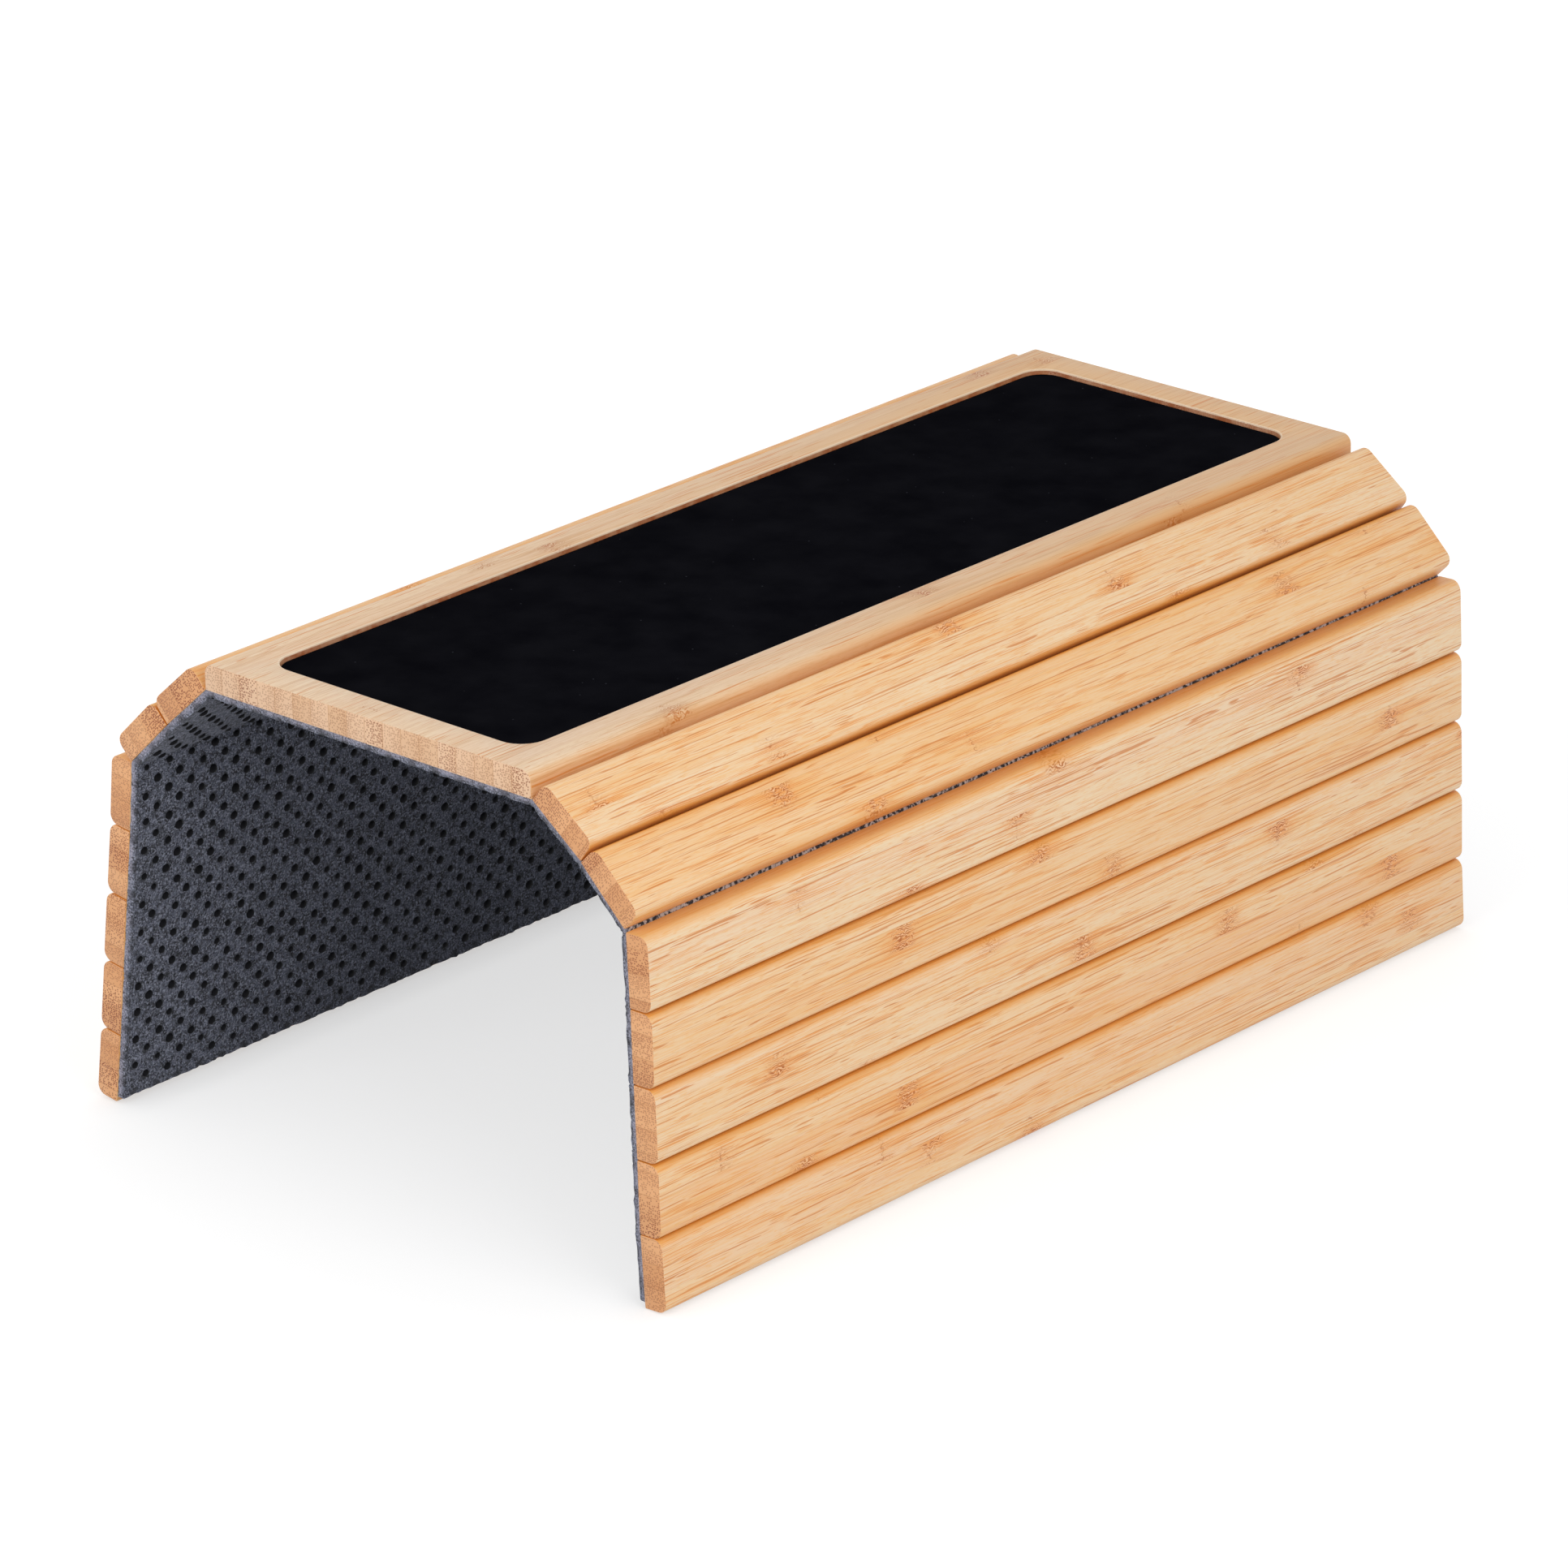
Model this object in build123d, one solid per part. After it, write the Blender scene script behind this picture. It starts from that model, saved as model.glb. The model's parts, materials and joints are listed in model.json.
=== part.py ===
from build123d import *
import math
import os

# A flexible bamboo tray that lies over the arm of a sofa. A centre board carries a black inlay in a
# shallow recess. Seven slats hang from each long edge of the board. One sheet of felt is glued under
# the board and all the slats, and the felt between two slats is their hinge.
#
# Lengths are in millimetres and angles in degrees. X runs across the tray, from the left flank to the
# right flank, Y runs along the slats and Z points up. The origin is on the floor, under the middle of
# the whole tray as it stands with both flanks hanging.

# The board and the slats share one length, front to back.
TRAY_LENGTH = 350.0

# Centre board: a panel of glued bamboo strips with rounded long edges on its top side.
BOARD_WIDTH = 126.0
BOARD_THICKNESS = 8.0
BOARD_EDGE_ROUNDING = 3.0
BOARD_END_BREAK = 0.4

# Recess routed into the board, and the inlay glued into it.
RECESS_SIDE_RIM = 13.5
RECESS_END_RIM = 11.5
RECESS_DEPTH = 3.0
RECESS_CORNER_RADIUS = 8.0
INLAY_THICKNESS = 1.5
INLAY_CLEARANCE = 0.2

# Slats: three glued bamboo strips each, rounded along both outer edges.
SLAT_WIDTH = 21.7
SLAT_THICKNESS = 8.0
SLAT_EDGE_ROUNDING = 3.0
SLAT_END_BREAK = 0.3
SLAT_GAP = 0.3
# The felt shows as a thin line between the second and third slat on the right.
RIGHT_WIDE_GAP = 1.1
WIDE_GAP_JOINT = 3

# Felt backing. It stops short of the slat ends and of the free edge of the last slat.
FELT_THICKNESS = 2.2
FELT_END_MARGIN = 1.0
FELT_FREE_EDGE_MARGIN = 1.6
# The felt is one sheet. It is cut here at every joint, this far from the joint's axis on each side,
# and mitred below it, so that its two sides just close when the joint is bent as far as it goes.
FELT_FOLD_CLEARANCE = 0.15

# How far each slat slopes down from level as the tray stands, from the board outwards.
RIGHT_TILTS = (37.0, 44.5, 88.0, 89.0, 88.5, 89.0, 87.0)
LEFT_TILTS = (41.5, 44.0, 84.0, 82.5, 82.5, 82.5, 82.0)

# The most that each joint bends inwards from flat, from the board outwards. With all of them at this
# bend each flank is rolled up under the board and touches neither the board nor the other flank.
BEND_LIMITS = (50.0, 30.0, 50.0, 35.0, 35.0, 35.0, 35.0)
# How far a joint opens past flat before the side faces of its slats meet.
BACK_BEND = 2.5

RIGHT = 1
LEFT = -1
SIDE_NAMES = {RIGHT: "right", LEFT: "left"}
TILTS = {RIGHT: RIGHT_TILTS, LEFT: LEFT_TILTS}


def joint_gap(side, joint):
    """The gap between the two wooden edges at a joint, numbered from 1 at the board."""
    if side == RIGHT and joint == WIDE_GAP_JOINT:
        return RIGHT_WIDE_GAP
    return SLAT_GAP


def free_end_gap(side, slat):
    """The half gap past a slat's outer edge. The last slat has no joint there."""
    if slat == len(TILTS[side]):
        return 0.0
    return joint_gap(side, slat + 1) / 2


def slat_reach(side, slat):
    """The distance from the joint that carries a slat to the next joint, or to its free edge."""
    return joint_gap(side, slat) / 2 + SLAT_WIDTH + free_end_gap(side, slat)


def joint_points(side):
    """The X and Z of each joint of a flank, and of the free edge, with the felt glued at Z zero."""
    x = side * (BOARD_WIDTH + joint_gap(side, 1)) / 2
    z = 0.0
    points = [(x, z)]
    for slat, tilt in enumerate(TILTS[side], start=1):
        reach = slat_reach(side, slat)
        x += side * reach * math.cos(math.radians(tilt))
        z -= reach * math.sin(math.radians(tilt))
        points.append((x, z))
    return points


def rest_bend(side, joint):
    """How far a joint is bent inwards as the tray stands."""
    tilts = (0.0,) + TILTS[side]
    return tilts[joint] - tilts[joint - 1]


def joint_range(side, joint):
    """The turn of a joint from where it rests: back to past flat, and on to its full bend."""
    bend = rest_bend(side, joint)
    return -BACK_BEND - bend, BEND_LIMITS[joint - 1] - bend


def fold_inset(joint):
    """How far the free face of the felt stays back from a joint's axis, so that its fold can close."""
    return FELT_FOLD_CLEARANCE + FELT_THICKNESS * math.tan(math.radians(BEND_LIMITS[joint - 1] / 2))


def corner_section(points, rounded, radius):
    """A closed outline in the XZ plane, with the corners nearest to the given points rounded."""
    outline = make_face(Plane.XZ * Polyline(*points, close=True))
    corners = [
        outline.vertices().sort_by_distance((Plane.XZ * Pos(*corner)).position)[0]
        for corner in rounded
    ]
    return fillet(corners, radius)


def along_tray(section, length):
    """A section drawn in the XZ plane, drawn out to both sides of it along Y."""
    return extrude(section, length / 2, both=True)


def break_ends(solid, amount):
    """The solid with the edges of its front and back end faces broken."""
    ends = solid.faces().sort_by(Axis.Y)
    return chamfer(ends[0].edges() + ends[-1].edges(), amount)


def make_board():
    """The centre board, felt side at Z zero, with its recess."""
    half = BOARD_WIDTH / 2
    top = [(half, BOARD_THICKNESS), (-half, BOARD_THICKNESS)]
    section = corner_section([(-half, 0), (half, 0)] + top, top, BOARD_EDGE_ROUNDING)
    board = break_ends(along_tray(section, TRAY_LENGTH), BOARD_END_BREAK)
    recess = RectangleRounded(
        BOARD_WIDTH - 2 * RECESS_SIDE_RIM, TRAY_LENGTH - 2 * RECESS_END_RIM, RECESS_CORNER_RADIUS
    )
    return board - extrude(Pos(0, 0, BOARD_THICKNESS - RECESS_DEPTH) * recess, BOARD_THICKNESS)


def make_inlay():
    """The inlay pad on the floor of the recess."""
    pad = RectangleRounded(
        BOARD_WIDTH - 2 * (RECESS_SIDE_RIM + INLAY_CLEARANCE),
        TRAY_LENGTH - 2 * (RECESS_END_RIM + INLAY_CLEARANCE),
        RECESS_CORNER_RADIUS - INLAY_CLEARANCE,
    )
    return extrude(Pos(0, 0, BOARD_THICKNESS - RECESS_DEPTH) * pad, INLAY_THICKNESS)


def felt_strip(near_joint, far_joint, near_inset, far_inset):
    """Felt glued on at Z zero between two joints, given the insets of its free face at each of them."""
    way = math.copysign(1, far_joint - near_joint)
    points = [
        (near_joint + way * FELT_FOLD_CLEARANCE, 0),
        (far_joint - way * FELT_FOLD_CLEARANCE, 0),
        (far_joint - way * far_inset, -FELT_THICKNESS),
        (near_joint + way * near_inset, -FELT_THICKNESS),
    ]
    section = make_face(Plane.XZ * Polyline(*points, close=True))
    return along_tray(section, TRAY_LENGTH - 2 * FELT_END_MARGIN)


def make_board_felt():
    """The felt under the centre board, mitred on both sides where it folds."""
    joints = [joint_points(side)[0][0] for side in (LEFT, RIGHT)]
    return felt_strip(joints[0], joints[1], fold_inset(1), fold_inset(1))


def make_slat(side, slat):
    """A slat lying flat beside its joint, which is at X zero and Z zero."""
    near = side * joint_gap(side, slat) / 2
    far = near + side * SLAT_WIDTH
    top = [(far, SLAT_THICKNESS), (near, SLAT_THICKNESS)]
    section = corner_section([(near, 0), (far, 0)] + top, top, SLAT_EDGE_ROUNDING)
    return break_ends(along_tray(section, TRAY_LENGTH), SLAT_END_BREAK)


def make_slat_felt(side, slat):
    """The felt under a slat, lying flat beside its joint, mitred where it folds."""
    reach = side * slat_reach(side, slat)
    if slat < len(TILTS[side]):
        return felt_strip(0, reach, fold_inset(slat), fold_inset(slat + 1))
    end = reach - side * (FELT_FREE_EDGE_MARGIN - FELT_FOLD_CLEARANCE)
    return felt_strip(0, end, fold_inset(slat), FELT_FOLD_CLEARANCE)


def hang(solid, side, slat):
    """A flat-lying slat or felt strip, moved to its joint and turned down to its tilt."""
    x, z = joint_points(side)[slat - 1]
    return Pos(x, 0, z) * Rot(0, side * TILTS[side][slat - 1], 0) * solid


def build_nodes():
    """Every node of the tray by name, with the felt's glued face under the board at Z zero."""
    nodes = {
        "centre_board": make_board(),
        "tray_inlay": make_inlay(),
        "felt_centre": make_board_felt(),
    }
    for side, side_name in SIDE_NAMES.items():
        for slat in range(1, len(TILTS[side]) + 1):
            nodes[f"{side_name}_slat_{slat}"] = hang(make_slat(side, slat), side, slat)
            nodes[f"felt_{side_name}_{slat}"] = hang(make_slat_felt(side, slat), side, slat)
    return nodes


NODES = build_nodes()

# The origin goes to the floor under the middle of the standing tray.
BOXES = [solid.bounding_box() for solid in NODES.values()]
LIFT = -min(box.min.Z for box in BOXES)
SHIFT = -(min(box.min.X for box in BOXES) + max(box.max.X for box in BOXES)) / 2

os.makedirs("parts", exist_ok=True)
for name, solid in NODES.items():
    NODES[name] = Pos(SHIFT, 0, LIFT) * solid
    export_step(NODES[name], f"parts/{name}.step")

# Each joint's axis runs along Y, and its turn is measured from the standing tray, positive inwards.
for side, side_name in SIDE_NAMES.items():
    for joint, (x, z) in enumerate(joint_points(side)[:-1], start=1):
        low, high = joint_range(side, joint)
        place = f"X {x + SHIFT:.3f} mm, Z {z + LIFT:.3f} mm"
        print(f"{side_name} joint {joint}: {place}, {low:.1f} to {high:.1f} degrees")
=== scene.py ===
"""A flexible bamboo tray for the arm of a sofa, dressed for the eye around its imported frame.

Lengths are in metres, apart from names that end in mm. X runs across the tray, Y runs along the slats
and Z points up. The wood and the felt carry their own coordinates in point attributes, because each
flank leans and each slat of it leans differently.
"""
import json
import logging
import math
from dataclasses import dataclass, field
from enum import Enum
from functools import partial
from typing import Any

import bmesh
import bpy
import numpy as np
from mathutils import Matrix, Vector, noise


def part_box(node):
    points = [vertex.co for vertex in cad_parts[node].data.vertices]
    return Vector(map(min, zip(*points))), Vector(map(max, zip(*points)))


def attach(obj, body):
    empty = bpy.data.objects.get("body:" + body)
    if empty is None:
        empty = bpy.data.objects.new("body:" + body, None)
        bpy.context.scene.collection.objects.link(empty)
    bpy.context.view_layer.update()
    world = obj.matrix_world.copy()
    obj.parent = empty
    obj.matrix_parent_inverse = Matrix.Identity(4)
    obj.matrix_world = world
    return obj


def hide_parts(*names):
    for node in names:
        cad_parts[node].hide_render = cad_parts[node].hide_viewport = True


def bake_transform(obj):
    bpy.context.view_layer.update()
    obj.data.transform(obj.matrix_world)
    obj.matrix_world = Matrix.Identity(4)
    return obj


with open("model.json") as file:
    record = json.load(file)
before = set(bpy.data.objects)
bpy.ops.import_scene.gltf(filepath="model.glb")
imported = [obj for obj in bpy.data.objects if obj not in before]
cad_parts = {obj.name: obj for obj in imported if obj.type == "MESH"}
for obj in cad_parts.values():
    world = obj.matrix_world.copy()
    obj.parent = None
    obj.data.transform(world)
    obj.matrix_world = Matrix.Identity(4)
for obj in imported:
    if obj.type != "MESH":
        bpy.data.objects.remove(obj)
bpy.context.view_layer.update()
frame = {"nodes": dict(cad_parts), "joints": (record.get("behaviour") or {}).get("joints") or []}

MM = 0.001
LOG = logging.getLogger("arm_tray")

MATH = "ShaderNodeMath"
VECTOR_MATH = "ShaderNodeVectorMath"
NOISE = "ShaderNodeTexNoise"
MAP_RANGE = "ShaderNodeMapRange"
MIX = "ShaderNodeMix"
# Sockets of a Mix node that mixes colours: its factor, its two colours, and its result.
MIX_FACTOR, MIX_FIRST, MIX_SECOND, MIX_RESULT = 0, 6, 7, 2
# A value eased from one range into another.
EASE = {"kind": MAP_RANGE, "interpolation_type": "SMOOTHSTEP"}

# What pieces carry in point and face attributes: the place in the wood or the cloth, and marks from 0 to 1.
GRAIN = "grain_mm"
END_GRAIN = "end_grain"
CLOTH = "cloth_mm"
CUT_EDGE = "cut_edge"
# The valley mark is where painted shade darkens the creases between slats.
VALLEY = "valley"
# The recess's wall is marked to be painted a darker brown.
WALL_DARK = "scorch"
# The recess's rim is marked for a painted highlight.
RIM_HIGHLIGHT = "sanded"
TONE = "tone"

# A broken edge is eased by a point between its two ends, this share of the break in from each face.
EASED_SHARE = 0.3
# How far apart two strips are drawn in the patterns at most, across, along and through them.
CANES_APART_MM = (500.0, 900.0, 700.0)
# Each piece of wood draws its strips from a range of its own in the grain's X.
STRIPS_PER_LOT = 100
# The frays at the felt's cut edges come from a noise that differs in each run unless it is seeded.
FRAY_SEED = 11


class Side(Enum):
    """The two flanks, by the sign of X on their side of the tray."""

    LEFT = -1
    RIGHT = 1

    @property
    def label(self) -> str:
        """The word that the frame's names use for this side."""
        return self.name.lower()


def linear(hex_colour: str) -> tuple[float, float, float, float]:
    """Turns an sRGB hex colour into linear values.

    Args:
        hex_colour: six hex digits, such as "E4B985".

    Returns:
        Linear red, green and blue, with full alpha.
    """
    channels = [int(hex_colour[i:i + 2], 16) / 255 for i in (0, 2, 4)]
    red, green, blue = (c / 12.92 if c <= 0.04045 else ((c + 0.055) / 1.055) ** 2.4 for c in channels)
    return red, green, blue, 1.0


def add_node(tree: bpy.types.NodeTree, kind: str, inputs: Any = (), out: Any = 0, **settings: Any) -> Any:
    """Adds a node to a tree, with its settings and links.

    Args:
        tree: the tree that gets the node.
        kind: the node's type.
        inputs: values, or sockets to link from, in a list by place or in a dict by name or place.
        out: the name or the place of the output that is wanted.
        settings: the node's own properties.

    Returns:
        The wanted output socket, or None where the node has no outputs.
    """
    node = tree.nodes.new(kind)
    for name, value in settings.items():
        setattr(node, name, value)
    for key, value in (inputs.items() if isinstance(inputs, dict) else enumerate(inputs)):
        if isinstance(value, bpy.types.NodeSocket):
            tree.links.new(value, node.inputs[key])
        elif value is not None:
            node.inputs[key].default_value = value
    return node.outputs[out] if len(node.outputs) else None


def new_material(name: str) -> tuple[bpy.types.Material, bpy.types.NodeTree]:
    """Makes an empty node material.

    Args:
        name: what the real material is.

    Returns:
        The material and its tree, with no nodes in it.
    """
    material = bpy.data.materials.new(name)
    material.use_nodes = True
    material.node_tree.nodes.clear()
    return material, material.node_tree


def paint(tree: bpy.types.NodeTree, base: Any, layers: list[tuple[Any, Any]]) -> bpy.types.NodeSocket:
    """Lays colours over each other.

    Args:
        tree: the tree that gets the nodes.
        base: the lowest colour, as six hex digits or a socket.
        layers: the share and the colour of each layer over it, from the lowest up.

    Returns:
        The colour that shows.
    """
    shown = linear(base) if isinstance(base, str) else base
    for share, colour in layers:
        over = linear(colour) if isinstance(colour, str) else colour
        shown = add_node(tree, MIX, {MIX_FACTOR: share, MIX_FIRST: shown, MIX_SECOND: over},
                         out=MIX_RESULT, data_type="RGBA")
    return shown


@dataclass(frozen=True)
class LacqueredBamboo:
    """Bamboo strips glued side by side, sanded and sealed with a thin clear satin lacquer.

    Fibre bundles run along each strip. They show as thin orange-brown streaks on its faces and as
    dots on its sawn ends, crowded at one edge of the strip and sparse at the other. Where the cane had
    a knuckle, the streaks buckle and a warm haze spreads along them, with a pale painted highlight
    beside the buckled dashes. In the crease between two slats the wood is painted a deep orange shade.

    A pair of sizes is a pattern's grain across the strip and along it. Real fibres are some 0.2 mm wide,
    and are drawn about twice as coarse, so that they show.
    """

    name: str
    strip_mm: float
    pale: str = "F2D7B2"
    honey: str = "EFB56E"
    pink: str = "F0D0B2"
    bundle: str = "E68E38"
    line: str = "D07A2A"
    knuckle: str = "B4601C"
    # A pale painted highlight beside a knuckle's buckled dashes.
    ridge: str = "FBEBD0"
    # Painted shade in the creases between slats, and at their bottom.
    pooled: str = "E9A142"
    deepest: str = "C8741A"
    glue: str = "B97F4C"
    end: str = "E9AE7A"
    end_dark: str = "D08E58"
    end_bundle: str = "8E441A"
    # The recess's wall is painted this darker brown.
    scorched: str = "A2521C"
    # A painted highlight along the recess's rim.
    sanded: str = "F8E6CC"
    # How far apart the bundles lie, across the strip and through it. On its faces they show finer.
    bundle_pitch_mm: tuple[float, float] = (0.62, 0.70)
    face_pitch_mm: tuple[float, float] = (0.46, 0.60)
    wander_mm: tuple[float, float] = (5.0, 50.0)
    wander_reach_mm: tuple[float, float, float] = (1.4, 0.0, 3.0)
    patch_mm: tuple[float, float] = (3.0, 70.0)
    fibre_mm: tuple[float, float] = (0.38, 60.0)
    grit_mm: tuple[float, float] = (0.4, 3.5)
    line_mm: tuple[float, float] = (0.42, 150.0)
    # Knuckles: their spacing on a cane, the bow of their line, and how far each of their marks reaches.
    knuckle_every_mm: float = 215.0
    boldness_mm: tuple[float, float] = (9.0, 90.0)
    bow_mm: tuple[float, float] = (1.4, 3.0)
    bow_height_mm: float = 7.0
    knuckle_half_mm: float = 6.5
    warm_half_mm: float = 10.0
    haze_half_mm: float = 24.0
    crack_half_mm: float = 0.35
    buckle_pitch_mm: float = 0.8
    buckle_mm: tuple[float, float] = (2.2, 2.2)
    buckle_height_mm: float = 3.4
    dash_mm: tuple[float, float] = (0.9, 2.6)
    seam_half_mm: float = 0.16
    scorch_mm: tuple[float, float] = (5.0, 5.0)
    fibre_strength: float = 0.42
    grit_strength: float = 0.55
    streak_strength: float = 0.85
    line_strength: float = 0.75
    warm_strength: float = 0.5
    ridge_strength: float = 0.35
    crack_strength: float = 0.6
    end_strength: float = 1.0
    end_spread: float = 0.6
    deepest_strength: float = 0.95
    sanded_strength: float = 0.45

    def material(self) -> bpy.types.Material:
        """Builds the material, which reads the grain and the marks that a piece of wood carries."""
        return BambooShader(self).build()


class BambooShader:
    """The nodes of a bamboo finish, added to its material part by part.

    The sockets that more than one part needs are kept under the names of what they tell.
    """

    def __init__(self, finish: LacqueredBamboo) -> None:
        """Starts a material, and reads what a piece of wood carries.

        Args:
            finish: the finish's colours and sizes.
        """
        self.finish = finish
        self.material, self.tree = new_material(finish.name)
        self.add = partial(add_node, self.tree)
        self.grain = self.add("ShaderNodeAttribute", out="Vector", attribute_name=GRAIN)
        self.end, self.valley, self.scorch, self.sanded, self.honeyed = (
            self.add("ShaderNodeAttribute", out="Fac", attribute_name=name)
            for name in (END_GRAIN, VALLEY, WALL_DARK, RIM_HIGHLIGHT, TONE)
        )

    def stretched_noise(self, vector: Any, size_mm: tuple[float, float], detail: float, out: str = "Fac",
                        ) -> bpy.types.NodeSocket:
        """Noise drawn out along the strips.

        Args:
            vector: the place in the wood, in millimetres.
            size_mm: the noise's grain across the strips and along them.
            detail: how many finer layers it has.
            out: the output that is wanted.

        Returns:
            The noise.
        """
        across, along = (1 / size for size in size_mm)
        place = self.add(VECTOR_MATH, [vector, (across, along, across)], operation="MULTIPLY")
        return self.add(NOISE, {"Vector": place, "Scale": 1.0, "Detail": detail, "Roughness": 0.6}, out=out)

    def lay_strips(self) -> None:
        """Finds the strip that a point lies in, and draws that strip's tone, its turn and its shift."""
        n = self.add
        self.across, self.along, _ = n("ShaderNodeSeparateXYZ", [self.grain]).node.outputs
        strips = n(MATH, [self.across, 1 / self.finish.strip_mm], operation="MULTIPLY")
        number = n(MATH, [strips], operation="FLOOR")
        self.place = n(MATH, [strips], operation="FRACT")
        draw = n("ShaderNodeTexWhiteNoise", {"W": number}, out="Color", noise_dimensions="1D")
        self.tone, self.flip, self.spot = n("ShaderNodeSeparateColor", [draw]).node.outputs
        # Each strip is a piece of another cane, so the patterns start afresh in it.
        self.own = n(VECTOR_MATH, [draw, CANES_APART_MM, self.grain], operation="MULTIPLY_ADD")
        outer = n(MATH, [self.place, n(MATH, [self.flip], operation="ROUND")], operation="SUBTRACT")
        self.outer = n(MATH, [outer], operation="ABSOLUTE")

    def place_knuckles(self) -> None:
        """Finds how far a point is from the nearest knuckle of its cane, and how bold that one is."""
        n, finish = self.add, self.finish
        # Knuckles stand at even steps along the cane, in a slightly bowed line across the strip.
        shift = n(MATH, [self.spot, 7.0], operation="MULTIPLY")
        turns = n(MATH, [self.along, 1 / finish.knuckle_every_mm, shift], operation="MULTIPLY_ADD")
        turns = n(MATH, [n(MATH, [turns], operation="FRACT"), 0.5], operation="SUBTRACT")
        self.wavy = self.stretched_noise(self.own, finish.bow_mm, 1.0)
        bow = n(MATH, [self.wavy, 0.5], operation="SUBTRACT")
        bow = n(MATH, [bow, finish.bow_height_mm], operation="MULTIPLY")
        past = n(MATH, [turns, finish.knuckle_every_mm, bow], operation="MULTIPLY_ADD")
        self.knuckle = n(MATH, [past], operation="ABSOLUTE")
        boldness = self.stretched_noise(self.own, finish.boldness_mm, 0.0)
        self.bold = n(inputs=[boldness, 0.4, 0.64, 0.15, 1.0], **EASE)
        half = finish.knuckle_half_mm
        near = n(inputs=[self.knuckle, 0.1 * half, half, 1.0, 0.0], **EASE)
        self.near = n(MATH, [near, self.bold], operation="MULTIPLY")
        haze = n(inputs=[self.knuckle, 0.0, finish.haze_half_mm, 1.0, 0.0], **EASE)
        self.haze = n(MATH, [haze, self.bold], operation="MULTIPLY")

    def draw_bundles(self) -> None:
        """Draws the bundles as rods along the cane, which wander a little, and crowd in patches."""
        n, finish = self.add, self.finish
        wander = self.stretched_noise(self.own, finish.wander_mm, 2.0, "Color")
        wander = n(VECTOR_MATH, [wander, (0.5, 0.5, 0.5)], operation="SUBTRACT")
        self.drift = n(VECTOR_MATH, [wander, finish.wander_reach_mm, self.own], operation="MULTIPLY_ADD")
        bent = n(MIX, {0: self.end, 4: self.drift, 5: self.own}, out=1, data_type="VECTOR")
        bent_x, _, bent_z = n("ShaderNodeSeparateXYZ", [bent]).node.outputs
        cell = n("ShaderNodeCombineXYZ", [
            n(MATH, [run, n(MAP_RANGE, [self.end, 0.0, 1.0, 1 / seen, 1 / sawn])], operation="MULTIPLY")
            for run, seen, sawn in zip((bent_x, bent_z), finish.face_pitch_mm, finish.bundle_pitch_mm)
        ])
        self.rods = n("ShaderNodeTexVoronoi", {"Vector": cell, "Scale": 1.0, "Randomness": 0.62},
                      out="Distance", voronoi_dimensions="2D", feature="F1").node.outputs
        patch = self.stretched_noise(self.own, finish.patch_mm, 3.0)
        self.crowd = n(MATH, [self.haze, 0.26, patch], operation="MULTIPLY_ADD")
        self.fibre = self.stretched_noise(self.drift, finish.fibre_mm, 2.0)
        size = n(MAP_RANGE, [self.crowd, 0.4, 0.7, 0.18, 0.30])
        inside = n(MATH, [size, self.rods["Distance"]], operation="SUBTRACT")
        self.streaks = n(inputs=[inside, -0.06, 0.06, 0.0, 1.0], **EASE)

    def knuckle_layers(self) -> list[tuple[Any, Any]]:
        """Draws a knuckle: a warm patch, and bundles that buckle into short wavy dashes across a thin crack,
        with a pale painted highlight beside the dashes.

        Returns:
            The share and the colour of each layer, from the lowest up.
        """
        n, finish = self.add, self.finish
        buckle = n(MATH, [self.stretched_noise(self.own, finish.buckle_mm, 1.0), finish.buckle_height_mm,
                          self.across], operation="MULTIPLY_ADD")
        buckle = n(MATH, [buckle, math.tau / finish.buckle_pitch_mm], operation="MULTIPLY")
        wave = n(MATH, [buckle], operation="SINE")
        broken = n(inputs=[self.stretched_noise(self.own, finish.dash_mm, 1.0), 0.38, 0.5, 0.0, 1.0], **EASE)
        broken = n(MATH, [broken, self.near], operation="MULTIPLY")
        dashes = n(MATH, [n(inputs=[wave, -0.2, 0.7, 0.0, 1.0], **EASE), broken], operation="MULTIPLY")
        # Pale ridges beside the dashes are a painted highlight, as if the buckled fibres stood in relief.
        ridge_highlights = n(inputs=[wave, -0.3, -0.9, 0.0, finish.ridge_strength], **EASE)
        ridge_highlights = n(MATH, [ridge_highlights, broken], operation="MULTIPLY")
        crack = n(MATH, [self.knuckle, finish.crack_half_mm], operation="LESS_THAN")
        opened = n(inputs=[self.wavy, 0.45, 0.6, 0.0, finish.crack_strength], **EASE)
        crack = n(MATH, [crack, opened], operation="MULTIPLY")
        self.dashes = n(MATH, [dashes, crack], operation="MAXIMUM")
        warm = n(inputs=[self.knuckle, 0.0, finish.warm_half_mm, finish.warm_strength, 0.0], **EASE)
        warm = n(MATH, [warm, self.bold], operation="MULTIPLY")
        return [(warm, finish.bundle), (ridge_highlights, finish.ridge), (self.dashes, finish.knuckle)]

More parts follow.
